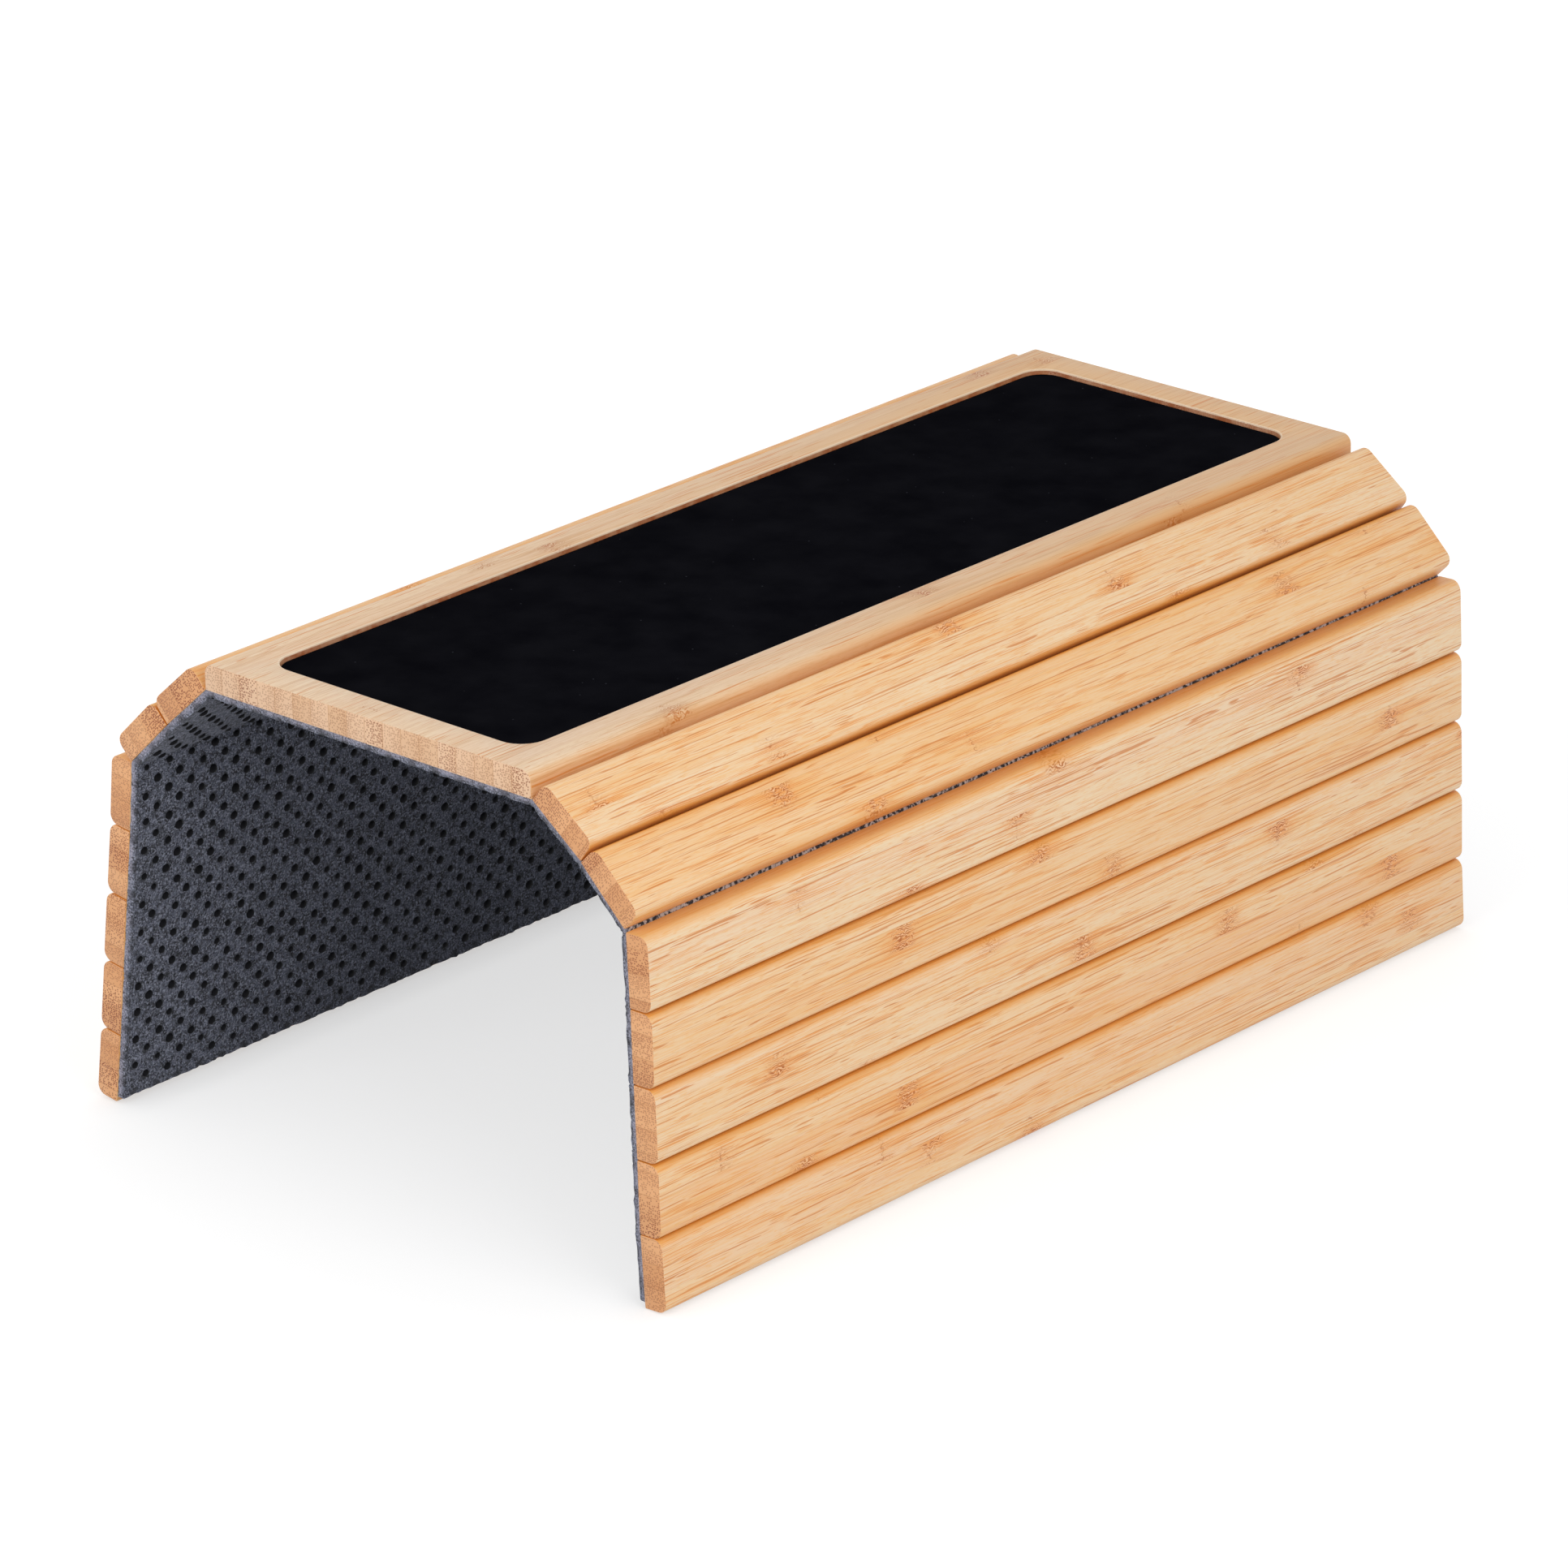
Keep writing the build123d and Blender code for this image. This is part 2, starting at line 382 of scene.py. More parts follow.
    def face_colour(self) -> bpy.types.NodeSocket:
        """Paints the strips' faces: soft clouds of tone, fine fibre, streaks, a few long lines, and knuckles.

        Returns:
            The colour.
        """
        n, finish = self.add, self.finish
        cloud = n(MATH, [self.tone, 0.4, self.honeyed], operation="MULTIPLY_ADD")
        crowded = n(inputs=[self.crowd, 0.42, 0.74, -0.06, 0.34], **EASE)
        cloud = n(MATH, [cloud, crowded], operation="ADD", use_clamp=True)
        grit = self.stretched_noise(self.own, finish.grit_mm, 1.0)
        depth = n(inputs=[self.crowd, 0.44, 0.62, 0.38, 0.92], **EASE)
        depth = n(MATH, [depth, finish.streak_strength], operation="MULTIPLY")
        lines = self.stretched_noise(self.drift, finish.line_mm, 0.0)
        return paint(self.tree, finish.pale, [
            (n(MAP_RANGE, [self.flip, 0.5, 1.0, 0.0, 0.8]), finish.pink),
            (cloud, finish.honey),
            (n(inputs=[self.fibre, 0.42, 0.66, 0.0, finish.fibre_strength], **EASE), finish.honey),
            (n(inputs=[grit, 0.5, 0.75, 0.0, finish.grit_strength], **EASE), finish.honey),
            (n(MATH, [self.streaks, depth], operation="MULTIPLY"), finish.bundle),
            (n(inputs=[lines, 0.66, 0.74, 0.0, finish.line_strength], **EASE), finish.line),
            *self.knuckle_layers(),
        ])

    def end_colour(self) -> bpy.types.NodeSocket:
        """Paints the strips' sawn ends: tan, with a dot for each bundle, fewer towards the cane's inside.

        Returns:
            The colour.
        """
        n, finish = self.add, self.finish
        chance = n("ShaderNodeSeparateColor", [self.rods["Color"]])
        kept = n(MATH, [chance, n(MAP_RANGE, [self.outer, 0.0, 1.0, 1.0, 0.45])], operation="LESS_THAN")
        width = n(MAP_RANGE, [self.outer, 0.0, 1.0, 0.38, 0.34])
        inside = n(MATH, [width, self.rods["Distance"]], operation="SUBTRACT")
        dots = n(MATH, [n(inputs=[inside, -0.08, 0.08, 0.0, 1.0], **EASE), kept], operation="MULTIPLY")
        shown = n(MATH, [n(MAP_RANGE, [self.tone, 0.5, 0.9, 0.5, 1.0]), finish.end_strength],
                  operation="MULTIPLY")
        return paint(self.tree, finish.end, [
            (n(MAP_RANGE, [self.spot, 0.3, 1.0, 0.0, finish.end_spread]), finish.end_dark),
            (n(MAP_RANGE, [self.outer, 0.0, 0.7, 0.4 * finish.end_spread, 0.0]), finish.end_dark),
            (n(MATH, [dots, shown], operation="MULTIPLY"), finish.end_bundle),
        ])

    def whole_colour(self) -> bpy.types.NodeSocket:
        """Paints the whole wood: faces, ends, glue lines and painted shade in the creases, and the recess's
        wall and rim.

        Returns:
            The colour. The recess's wall is painted a darker brown in patches, and its rim has a painted
            highlight.
        """
        n, finish = self.add, self.finish
        seam = n(MATH, [n(MATH, [self.place, 0.5], operation="SUBTRACT")], operation="ABSOLUTE")
        seam_dark = n(MATH, [self.end, 0.6, 0.2], operation="MULTIPLY_ADD")
        seam = n(MAP_RANGE, [seam, 0.5 - finish.seam_half_mm / finish.strip_mm, 0.5, 0.0, seam_dark])
        on_face = n(MATH, [1.0, self.end], operation="SUBTRACT")
        valley = n(MATH, [self.valley, on_face], operation="MULTIPLY")
        patchy = self.stretched_noise(self.grain, finish.scorch_mm, 3.0)
        patchy = n(inputs=[patchy, 0.35, 0.65, 0.6, 0.95], **EASE)
        return paint(self.tree, self.face_colour(), [
            (self.end, self.end_colour()),
            (seam, finish.glue),
            # Painted shade in the creases between slats, darkest at their bottom.
            (valley, finish.pooled),
            (n(inputs=[valley, 0.76, 0.92, 0.0, finish.deepest_strength], **EASE), finish.deepest),
            # The recess's wall is painted a darker brown in patches.
            (n(MATH, [self.scorch, patchy], operation="MULTIPLY"), finish.scorched),
            # A painted highlight along the recess's rim.
            (n(MATH, [self.sanded, finish.sanded_strength], operation="MULTIPLY"), finish.sanded),
        ])

    def build(self) -> bpy.types.Material:
        """Builds the material.

        Returns:
            A satin coat over the painted wood, whose bundles lie a little deeper than the rest.
        """
        n = self.add
        self.lay_strips()
        self.place_knuckles()
        self.draw_bundles()
        colour = self.whole_colour()
        height = n(MATH, [self.streaks, -0.5, self.fibre], operation="MULTIPLY_ADD")
        height = n(MATH, [self.dashes, -0.5, height], operation="MULTIPLY_ADD")
        shader = n("ShaderNodeBsdfPrincipled", {
            "Base Color": colour, "Roughness": n(MAP_RANGE, [self.fibre, 0.3, 0.7, 0.42, 0.56]),
            "Normal": n("ShaderNodeBump", {"Strength": 0.15, "Distance": 0.05 * MM, "Height": height}),
            "IOR": 1.5, "Coat Weight": 0.1, "Coat Roughness": 0.35,
        })
        n("ShaderNodeOutputMaterial", {"Surface": shader})
        return self.material


@dataclass(frozen=True)
class NeedleFelt:
    """Needle-punched polyester felt, heather blue-grey: dark, flecked with lighter fibres, fuzzy where cut.

    Real fibres are some 0.05 mm wide. They are drawn several times coarser, so that the heather shows.
    """

    name: str = "needle_felt"
    ground: str = "555A6B"
    dark: str = "15171E"
    fibre: str = "B8BDD2"
    cut: str = "B4B1C4"
    # Painted shade round each grip dot.
    pressed: str = "16171D"
    # The glued face is painted this dark as shade where it shows between slats.
    glued: str = "24222A"
    tuft: str = "C2B6B2"
    tuft_mm: float = 1.2
    fibre_mm: float = 0.75
    fleck_mm: float = 0.6
    clump_mm: float = 1.5
    stretch_mm: float = 7.0
    dot_step_mm: float = 4.375
    dot_half_mm: float = 0.9
    dot_halo_mm: float = 1.9
    halo_strength: float = 0.7
    # The face that is glued to the wood lies above this level in the felt.
    glued_level_mm: float = -0.2

    def dot_halo(self, tree: bpy.types.NodeTree, cloth: bpy.types.NodeSocket) -> bpy.types.NodeSocket:
        """Finds how near a point is to a grip dot. The dots stand in two offset square grids.

        Args:
            tree: the tree that gets the nodes.
            cloth: the place on the felt, in millimetres.

        Returns:
            1 at a dot, down to 0 where its halo ends.
        """
        n = partial(add_node, tree)
        step = self.dot_step_mm
        halo = None
        for offset in (0.0, step):
            gap = cloth
            # Taken twice, because a remainder keeps its sign.
            for shift in (step + offset, 2 * step):
                gap = n(VECTOR_MATH, [gap, (shift, shift, 0.0)], operation="ADD")
                gap = n(VECTOR_MATH, [gap, (2 * step, 2 * step, 1.0)], operation="MODULO")
            gap = n(VECTOR_MATH, [gap, (step, step, 0.0)], operation="SUBTRACT")
            gap = n(VECTOR_MATH, [gap, (1.0, 1.0, 0.0)], operation="MULTIPLY")
            gap = n(VECTOR_MATH, [gap], out="Value", operation="LENGTH")
            ring = n(inputs=[gap, self.dot_half_mm, self.dot_halo_mm, 1.0, 0.0], **EASE)
            halo = ring if halo is None else n(MATH, [halo, ring], operation="MAXIMUM")
        return halo

    def material(self) -> bpy.types.Material:
        """Builds the material.

        Returns:
            A material that reads the cloth and cut-edge attributes of a piece.
        """
        material, tree = new_material(self.name)
        n = partial(add_node, tree)
        cloth = n("ShaderNodeAttribute", out="Vector", attribute_name=CLOTH)
        cut = n("ShaderNodeAttribute", out="Fac", attribute_name=CUT_EDGE)
        _, _, level = n("ShaderNodeSeparateXYZ", [cloth]).node.outputs
        clump = n(NOISE, {"Vector": cloth, "Scale": 1 / self.clump_mm, "Detail": 4.0, "Roughness": 0.72})
        # Thin bands of a strongly distorted noise look like short tangled fibres.
        tangle = n(NOISE, {"Vector": cloth, "Scale": 1 / self.fibre_mm, "Detail": 1.0, "Distortion": 1.8})
        strand = n(MATH, [n(MATH, [tangle, 0.5], operation="SUBTRACT")], operation="ABSOLUTE")
        strand = n(inputs=[strand, 0.0, 0.08, 1.0, 0.0], **EASE)
        fleck = n(NOISE, {"Vector": cloth, "Scale": 1 / self.fleck_mm, "Detail": 2.0, "Roughness": 0.7})
        lit = n(MATH, [strand, n(MAP_RANGE, [clump, 0.38, 0.66, 0.1, 0.75])], operation="MULTIPLY")
        lit = n(MATH, [n(MAP_RANGE, [fleck, 0.5, 0.64, 0.0, 0.9]), lit], operation="MAXIMUM")
        # The felt is darkened round each grip dot by a painted shade.
        pressed = n(MATH, [self.dot_halo(tree, cloth), self.halo_strength], operation="MULTIPLY")
        # Where it shows between two slats, its glued face is painted dark as shade, with pale tufts standing
        # out of it.
        tufts = n(NOISE, {"Vector": cloth, "Scale": 1 / self.tuft_mm, "Detail": 2.0})
        between = paint(tree, self.glued, [(n(MAP_RANGE, [tufts, 0.46, 0.56, 0.0, 1.0]), self.tuft)])
        glued_face = n(MATH, [level, self.glued_level_mm], operation="GREATER_THAN")
        # Cut edges fuzz up in stretches, and most beside the wood.
        beside = n(MAP_RANGE, [level, -1.8, -0.8, 0.1, 1.0])
        fuzz = n(MATH, [n(MAP_RANGE, [fleck, 0.38, 0.56, 0.15, 1.0]), beside], operation="MULTIPLY")
        stretch = n(NOISE, {"Vector": cloth, "Scale": 1 / self.stretch_mm, "Detail": 2.0})
        fuzz = n(MATH, [fuzz, n(MAP_RANGE, [stretch, 0.4, 0.6, 0.35, 1.0])], operation="MULTIPLY")
        colour = paint(tree, self.dark, [
            (n(MAP_RANGE, [clump, 0.44, 0.58, 0.0, 1.0]), self.ground),
            (lit, self.fibre),
            (pressed, self.pressed),
            (glued_face, between),
            (n(MATH, [cut, fuzz], operation="MULTIPLY"), self.cut),
        ])
        height = n(MATH, [strand, 0.5, n(MATH, [clump, fleck], operation="ADD")], operation="MULTIPLY_ADD")
        shader = n("ShaderNodeBsdfPrincipled", {
            "Base Color": colour, "Roughness": 0.95,
            "Normal": n("ShaderNodeBump", {"Strength": 0.8, "Distance": 0.3 * MM, "Height": height}),
            "IOR": 1.4, "Sheen Weight": 0.15, "Sheen Roughness": 0.5,
        })
        n("ShaderNodeOutputMaterial", {"Surface": shader})
        return material


@dataclass(frozen=True)
class FlockedPad:
    """Flocked felt pad, near black: its short upright pile swallows light, with a speck of lint in places."""

    name: str = "flocked_pad"
    pile: str = "0C0C10"
    nap: str = "131317"
    lint: str = "3A3B42"
    nap_mm: float = 12.5
    pile_mm: float = 0.4545
    lint_every_mm: float = 6.25

    def material(self) -> bpy.types.Material:
        """Builds the material on Object coordinates.

        Returns:
            The material.
        """
        material, tree = new_material(self.name)
        n = partial(add_node, tree)
        place = n(VECTOR_MATH, {0: n("ShaderNodeTexCoord", out="Object"), "Scale": 1 / MM}, operation="SCALE")
        nap = n(NOISE, {"Vector": place, "Scale": 1 / self.nap_mm, "Detail": 4.0})
        pile = n(NOISE, {"Vector": place, "Scale": 1 / self.pile_mm, "Detail": 2.0})
        speck = n("ShaderNodeTexVoronoi", {"Vector": place, "Scale": 1 / self.lint_every_mm}, out="Distance")
        colour = paint(tree, self.pile, [
            (n(MAP_RANGE, [nap, 0.3, 0.7, 0.0, 1.0]), self.nap),
            (n(MAP_RANGE, [speck, 0.02, 0.05, 0.8, 0.0]), self.lint),
        ])
        shader = n("ShaderNodeBsdfPrincipled", {
            "Base Color": colour, "Roughness": 1.0,
            "Normal": n("ShaderNodeBump", {"Strength": 0.6, "Distance": 0.12 * MM, "Height": pile}),
            "Specular IOR Level": 0.0,
        })
        n("ShaderNodeOutputMaterial", {"Surface": shader})
        return material


@dataclass(frozen=True)
class PrintedGrip:
    """Soft PVC printed on the felt in dots and cured: black, slightly glossy, and dimpled as it shrank."""

    name: str = "printed_pvc_grip"
    body: str = "08080B"
    worn: str = "121318"
    dimple_mm: float = 0.8

    def material(self) -> bpy.types.Material:
        """Builds the material on Object coordinates.

        Returns:
            The material.
        """
        material, tree = new_material(self.name)
        n = partial(add_node, tree)
        place = n("ShaderNodeTexCoord", out="Object")
        dimple = n(NOISE, {"Vector": place, "Scale": 1 / (self.dimple_mm * MM), "Detail": 2.0})
        colour = paint(tree, self.body, [(n(MAP_RANGE, [dimple, 0.3, 0.7, 0.0, 1.0]), self.worn)])
        shader = n("ShaderNodeBsdfPrincipled", {
            "Base Color": colour, "Roughness": n(MAP_RANGE, [dimple, 0.3, 0.7, 0.6, 0.75]),
            "Normal": n("ShaderNodeBump", {"Strength": 0.4, "Distance": 0.1 * MM, "Height": dimple}),
            "IOR": 1.53, "Specular IOR Level": 0.1,
        })
        n("ShaderNodeOutputMaterial", {"Surface": shader})
        return material


def put_attribute(mesh: bpy.types.Mesh, name: str, values: np.ndarray, domain: str = "POINT") -> None:
    """Stores numbers or vectors on a mesh under a name.

    Args:
        mesh: the mesh that gets them.
        name: what a material reads them by.
        values: one number or one vector for each point or face.
        domain: POINT or FACE.
    """
    vectors = values.ndim == 2
    attribute = mesh.attributes.new(name, "FLOAT_VECTOR" if vectors else "FLOAT", domain)
    attribute.data.foreach_set("vector" if vectors else "value", values.astype(np.float32).ravel())


def points_of(mesh: bpy.types.Mesh) -> np.ndarray:
    """Reads a mesh's points.

    Args:
        mesh: the mesh.

    Returns:
        Their coordinates, one row each.
    """
    flat = np.zeros(len(mesh.vertices) * 3, np.float32)
    mesh.vertices.foreach_get("co", flat)
    return flat.reshape(-1, 3).astype(float)


def set_points(mesh: bpy.types.Mesh, points: np.ndarray) -> None:
    """Moves a mesh's points to new coordinates, one row each."""
    mesh.vertices.foreach_set("co", points.astype(np.float32).ravel())
    mesh.update()


def face_normals(mesh: bpy.types.Mesh) -> np.ndarray:
    """Reads the normals of a mesh's faces.

    Args:
        mesh: the mesh.

    Returns:
        The normals, one row each.
    """
    flat = np.zeros(len(mesh.polygons) * 3, np.float32)
    mesh.polygons.foreach_get("normal", flat)
    return flat.reshape(-1, 3)


def make_mesh(name: str, points: Any, faces: list) -> bpy.types.Mesh:
    """Builds a mesh with its faces turned outwards.

    Args:
        name: the mesh's name.
        points: its points.
        faces: its faces, by the points' numbers.

    Returns:
        The mesh.
    """
    mesh = bpy.data.meshes.new(name)
    mesh.from_pydata([tuple(p) for p in points], [], faces)
    turned = bmesh.new()
    turned.from_mesh(mesh)
    bmesh.ops.recalc_face_normals(turned, faces=turned.faces)
    turned.to_mesh(mesh)
    turned.free()
    return mesh


def link_piece(name: str, mesh: bpy.types.Mesh, material: bpy.types.Material, sharp_degrees: float = 35.0,
               ) -> bpy.types.Object:
    """Puts a mesh into the scene as a smooth-shaded piece.

    Args:
        name: the piece's name.
        mesh: its mesh, in place.
        material: its only material.
        sharp_degrees: the angle past which an edge shows as sharp.

    Returns:
        The piece, at the origin.
    """
    mesh.materials.clear()
    mesh.materials.append(material)
    mesh.shade_smooth()
    mesh.set_sharp_from_angle(angle=math.radians(sharp_degrees))
    piece = bpy.data.objects.new(name, mesh)
    bpy.context.scene.collection.objects.link(piece)
    return piece


def run_tree(tree: bpy.types.NodeTree, values: dict[str, Any], bevel: float = 0.0) -> bpy.types.Mesh:
    """Runs a Geometry Nodes tree and keeps what it makes as a plain mesh.

    Args:
        tree: the tree.
        values: its inputs by name. Those that are left out keep their own values.
        bevel: the width of a bevel on the sharp edges of the result, or 0 for none.

    Returns:
        The mesh.
    """
    holder = bpy.data.objects.new(tree.name, bpy.data.meshes.new(tree.name))
    bpy.context.scene.collection.objects.link(holder)
    modifier = holder.modifiers.new("shape", "NODES")
    modifier.node_group = tree
    for socket in tree.interface.items_tree:
        if socket.in_out == "INPUT" and socket.name in values:
            modifier[socket.identifier] = values[socket.name]
    if bevel:
        edges = holder.modifiers.new("edges", "BEVEL")
        edges.width, edges.segments = bevel, 2
        edges.limit_method, edges.angle_limit = "ANGLE", math.radians(60)
    evaluated = holder.evaluated_get(bpy.context.evaluated_depsgraph_get())
    mesh = bpy.data.meshes.new_from_object(evaluated)
    bpy.data.objects.remove(holder)
    return mesh


def new_tree(name: str, sizes: dict[str, float], whole: dict[str, int]) -> tuple[bpy.types.NodeTree, dict]:
    """Starts a Geometry Nodes tree with named inputs.

    Args:
        name: the tree's name.
        sizes: its lengths and shares by name, with their usual values.
        whole: its whole numbers by name, with their usual values.

    Returns:
        The tree, and its input sockets by name. A material input is always there.
    """
    tree = bpy.data.node_groups.new(name, "GeometryNodeTree")
    for kind, values in (("NodeSocketFloat", sizes), ("NodeSocketInt", whole)):
        for label, value in values.items():
            tree.interface.new_socket(label, in_out="INPUT", socket_type=kind).default_value = value
    tree.interface.new_socket("Material", in_out="INPUT", socket_type="NodeSocketMaterial")
    tree.interface.new_socket("Geometry", in_out="OUTPUT", socket_type="NodeSocketGeometry")
    start = tree.nodes.new("NodeGroupInput")
    return tree, {socket.name: socket for socket in start.outputs if socket.name}


def end_tree(tree: bpy.types.NodeTree, shape: bpy.types.NodeSocket, sockets: dict) -> None:
    """Ends a tree: real geometry, with the material on it.

    Args:
        tree: the tree.
        shape: what it has made.
        sockets: its input sockets by name.
    """
    n = partial(add_node, tree)
    real = n("GeometryNodeRealizeInstances", [shape])
    dressed = n("GeometryNodeSetMaterial", {"Geometry": real, "Material": sockets["Material"]})
    n("NodeGroupOutput", [dressed])


def slat_tree() -> bpy.types.NodeTree:
    """Builds the tree that makes one slat: a rectangle with its outer corners rounded, drawn along Y.

    Returns:
        The tree. Its slat lies flat, centred on the origin, with its outer face up.
    """
    tree, sockets = new_tree("bamboo_slat", {
        "Length": 350 * MM, "Width": 21.7 * MM, "Thickness": 8 * MM, "Rounding": 3 * MM,
        "Felt Side Rounding": 0.3 * MM,
    }, {"Corner Steps": 7})
    n = partial(add_node, tree)
    profile = n("GeometryNodeCurvePrimitiveQuadrilateral",
                {"Width": sockets["Width"], "Height": sockets["Thickness"]}, mode="RECTANGLE")
    height = n("ShaderNodeSeparateXYZ", [n("GeometryNodeInputPosition")], out="Y")
    outer = n("FunctionNodeCompare", {0: height, 1: 0.0}, data_type="FLOAT", operation="LESS_THAN")
    radius = n("GeometryNodeSwitch", {"Switch": outer, "False": sockets["Felt Side Rounding"],
                                      "True": sockets["Rounding"]}, input_type="FLOAT")
    profile = n("GeometryNodeFilletCurve", {
        "Curve": profile, "Count": sockets["Corner Steps"], "Radius": radius,
    }, mode="POLY")
    half = n(MATH, [sockets["Length"], 0.5], operation="MULTIPLY")
    back = n(MATH, [half, -1.0], operation="MULTIPLY")
    run = n("GeometryNodeCurvePrimitiveLine", {"Start": n("ShaderNodeCombineXYZ", {"Y": back}),
                                               "End": n("ShaderNodeCombineXYZ", {"Y": half})})
    slat = n("GeometryNodeCurveToMesh", {"Curve": run, "Profile Curve": profile, "Fill Caps": True})
    end_tree(tree, slat, sockets)
    return tree


def dot_tree() -> bpy.types.NodeTree:
    """Builds the tree that makes a field of grip dots on a flat sheet in the XY plane.

    The dots stand at every other crossing of a grid, so that each row is staggered to the next.

    Returns:
        The tree.
    """
    tree, sockets = new_tree("grip_dots", {
        "First Column": 0.0, "First Row": 0.0, "Column Step": 4.375 * MM, "Row Step": 4.375 * MM,
        "Level": 0.0, "Diameter": 2.45 * MM, "Height": 0.6 * MM, "Stray": 0.4 * MM, "Even Spread": 0.22,
    }, {"Columns": 4, "Rows": 60, "Parity": 0, "Seed": 1})
    n = partial(add_node, tree)
    last_column = n(MATH, [sockets["Columns"], 1.0], operation="SUBTRACT")
    last_row = n(MATH, [sockets["Rows"], 1.0], operation="SUBTRACT")
    size_x = n(MATH, [last_column, sockets["Column Step"]], operation="MULTIPLY")
    size_y = n(MATH, [last_row, sockets["Row Step"]], operation="MULTIPLY")
    grid = n("GeometryNodeMeshGrid", {"Size X": size_x, "Size Y": size_y, "Vertices X": sockets["Columns"],
                                      "Vertices Y": sockets["Rows"]}, out="Mesh")
    corner = n("ShaderNodeCombineXYZ", [
        n(MATH, [size_x, 0.5, sockets["First Column"]], operation="MULTIPLY_ADD"),
        n(MATH, [size_y, 0.5, sockets["First Row"]], operation="MULTIPLY_ADD"), sockets["Level"],
    ])
    grid = n("GeometryNodeTransform", {"Geometry": grid, "Translation": corner})
    place_x, place_y, _ = n("ShaderNodeSeparateXYZ", [n("GeometryNodeInputPosition")]).node.outputs
    crossing = sockets["Parity"]
    for place, first, step in ((place_x, "First Column", "Column Step"), (place_y, "First Row", "Row Step")):
        steps = n(MATH, [place, sockets[first]], operation="SUBTRACT")
        steps = n(MATH, [steps, sockets[step]], operation="DIVIDE")
        crossing = n(MATH, [crossing, steps], operation="ADD")
    crossing = n(MATH, [n(MATH, [crossing], operation="ROUND"), 2.0], operation="MODULO")
    skipped = n("FunctionNodeCompare", {0: crossing, 1: 0.5}, data_type="FLOAT", operation="GREATER_THAN")
    grid = n("GeometryNodeDeleteGeometry", {"Geometry": grid, "Selection": skipped}, domain="POINT")
    lowest = n(MATH, [sockets["Stray"], -1.0], operation="MULTIPLY")
    lowest, highest = (n("ShaderNodeCombineXYZ", [reach, reach, 0.0]) for reach in (lowest, sockets["Stray"]))
    stray = n("FunctionNodeRandomValue", {0: lowest, 1: highest, "Seed": sockets["Seed"]},
              data_type="FLOAT_VECTOR")
    grid = n("GeometryNodeSetPosition", {"Geometry": grid, "Offset": stray})
    radius = n(MATH, [sockets["Diameter"], 0.5], operation="MULTIPLY")
    ball = n("GeometryNodeMeshUVSphere", {"Segments": 10, "Rings": 6, "Radius": radius}, out="Mesh")
    squat = n(MATH, [sockets["Height"], radius], operation="DIVIDE")
    squat = n("ShaderNodeCombineXYZ", [1.0, 1.0, squat])
    ball = n("GeometryNodeTransform", {"Geometry": ball, "Scale": squat})
    least = n(MATH, [1.0, sockets["Even Spread"]], operation="SUBTRACT")
    most = n(MATH, [1.0, sockets["Even Spread"]], operation="ADD")
    scale = n("FunctionNodeRandomValue", {2: least, 3: most, "Seed": sockets["Seed"]}, out=1,
              data_type="FLOAT")
    dots = n("GeometryNodeInstanceOnPoints", {"Points": grid, "Instance": ball, "Scale": scale})
    end_tree(tree, dots, sockets)
    return tree


@dataclass
class WoodPlace:
    """Where a slat lies at rest, measured on its solid in the frame."""

    centre: np.ndarray
    away: np.ndarray
    outward: np.ndarray
    width: float
    thickness: float
    length: float

    @classmethod
    def measure(cls, node: str, side: Side) -> "WoodPlace":
        """Measures a slat, whose widest flat face is the one that the felt is glued to.

        Args:
            node: the slat's name in the frame.
            side: its flank.

        Returns:
            The middle of its felt face, its directions away from the board and outwards, and its sizes.
        """
        mesh = frame["nodes"][node].data
        areas: dict[tuple, float] = {}
        for polygon in mesh.polygons:
            key = tuple(round(c, 4) for c in polygon.normal)
            areas[key] = areas.get(key, 0.0) + polygon.area
        inward = np.array(max(areas, key=areas.get))
        inward[1] = 0.0
        outward = -inward / np.linalg.norm(inward)
        away = np.array([side.value * outward[2], 0.0, -side.value * outward[0]])
        points = points_of(mesh)
        near, far = (points @ away).min(), (points @ away).max()
        low, high = (points @ outward).min(), (points @ outward).max()
        return cls(away * (near + far) / 2 + outward * low, away, outward, far - near, high - low,
                   np.ptp(points[:, 1]))

    def matrix(self, side: Side) -> Matrix:
        """Works out the move that brings a flat-lying slat, outer face up, to this place.

        Args:
            side: the slat's flank.

        Returns:
            The move.
        """
        columns = [self.away * side.value, np.array([0.0, 1.0, 0.0]), self.outward]
        turn = Matrix(np.array(columns).T.tolist()).to_4x4()
        return Matrix.Translation(Vector(self.centre + self.outward * self.thickness / 2)) @ turn


def mark_grain(mesh: bpy.types.Mesh, lot: int, strip_mm: float, phase: float, felt_level: float,
               tone: tuple[float, float]) -> None:
    """Gives a flat-lying piece of wood its grain, and marks its sawn ends.

    Args:
        mesh: the wood, lying flat with its length along Y.
        lot: the piece's own number, which sets it apart from the others.
        strip_mm: the width of its strips.
        phase: the share of a strip that its first strip is cut to.
        felt_level: the height of its felt face in the mesh.
        tone: how honey-coloured it is at its near end and at its far end.
    """
    points = points_of(mesh)
    y = points[:, 1]
    put_attribute(mesh, TONE, np.interp(y, (y.min(), y.max()), tone))
    grain = points / MM
    grain[:, 0] += (lot * STRIPS_PER_LOT + STRIPS_PER_LOT / 2 + phase) * strip_mm
    grain[:, 2] -= felt_level / MM
    put_attribute(mesh, GRAIN, grain)
    put_attribute(mesh, END_GRAIN, (np.abs(face_normals(mesh)[:, 1]) > 0.9).astype(float), "FACE")


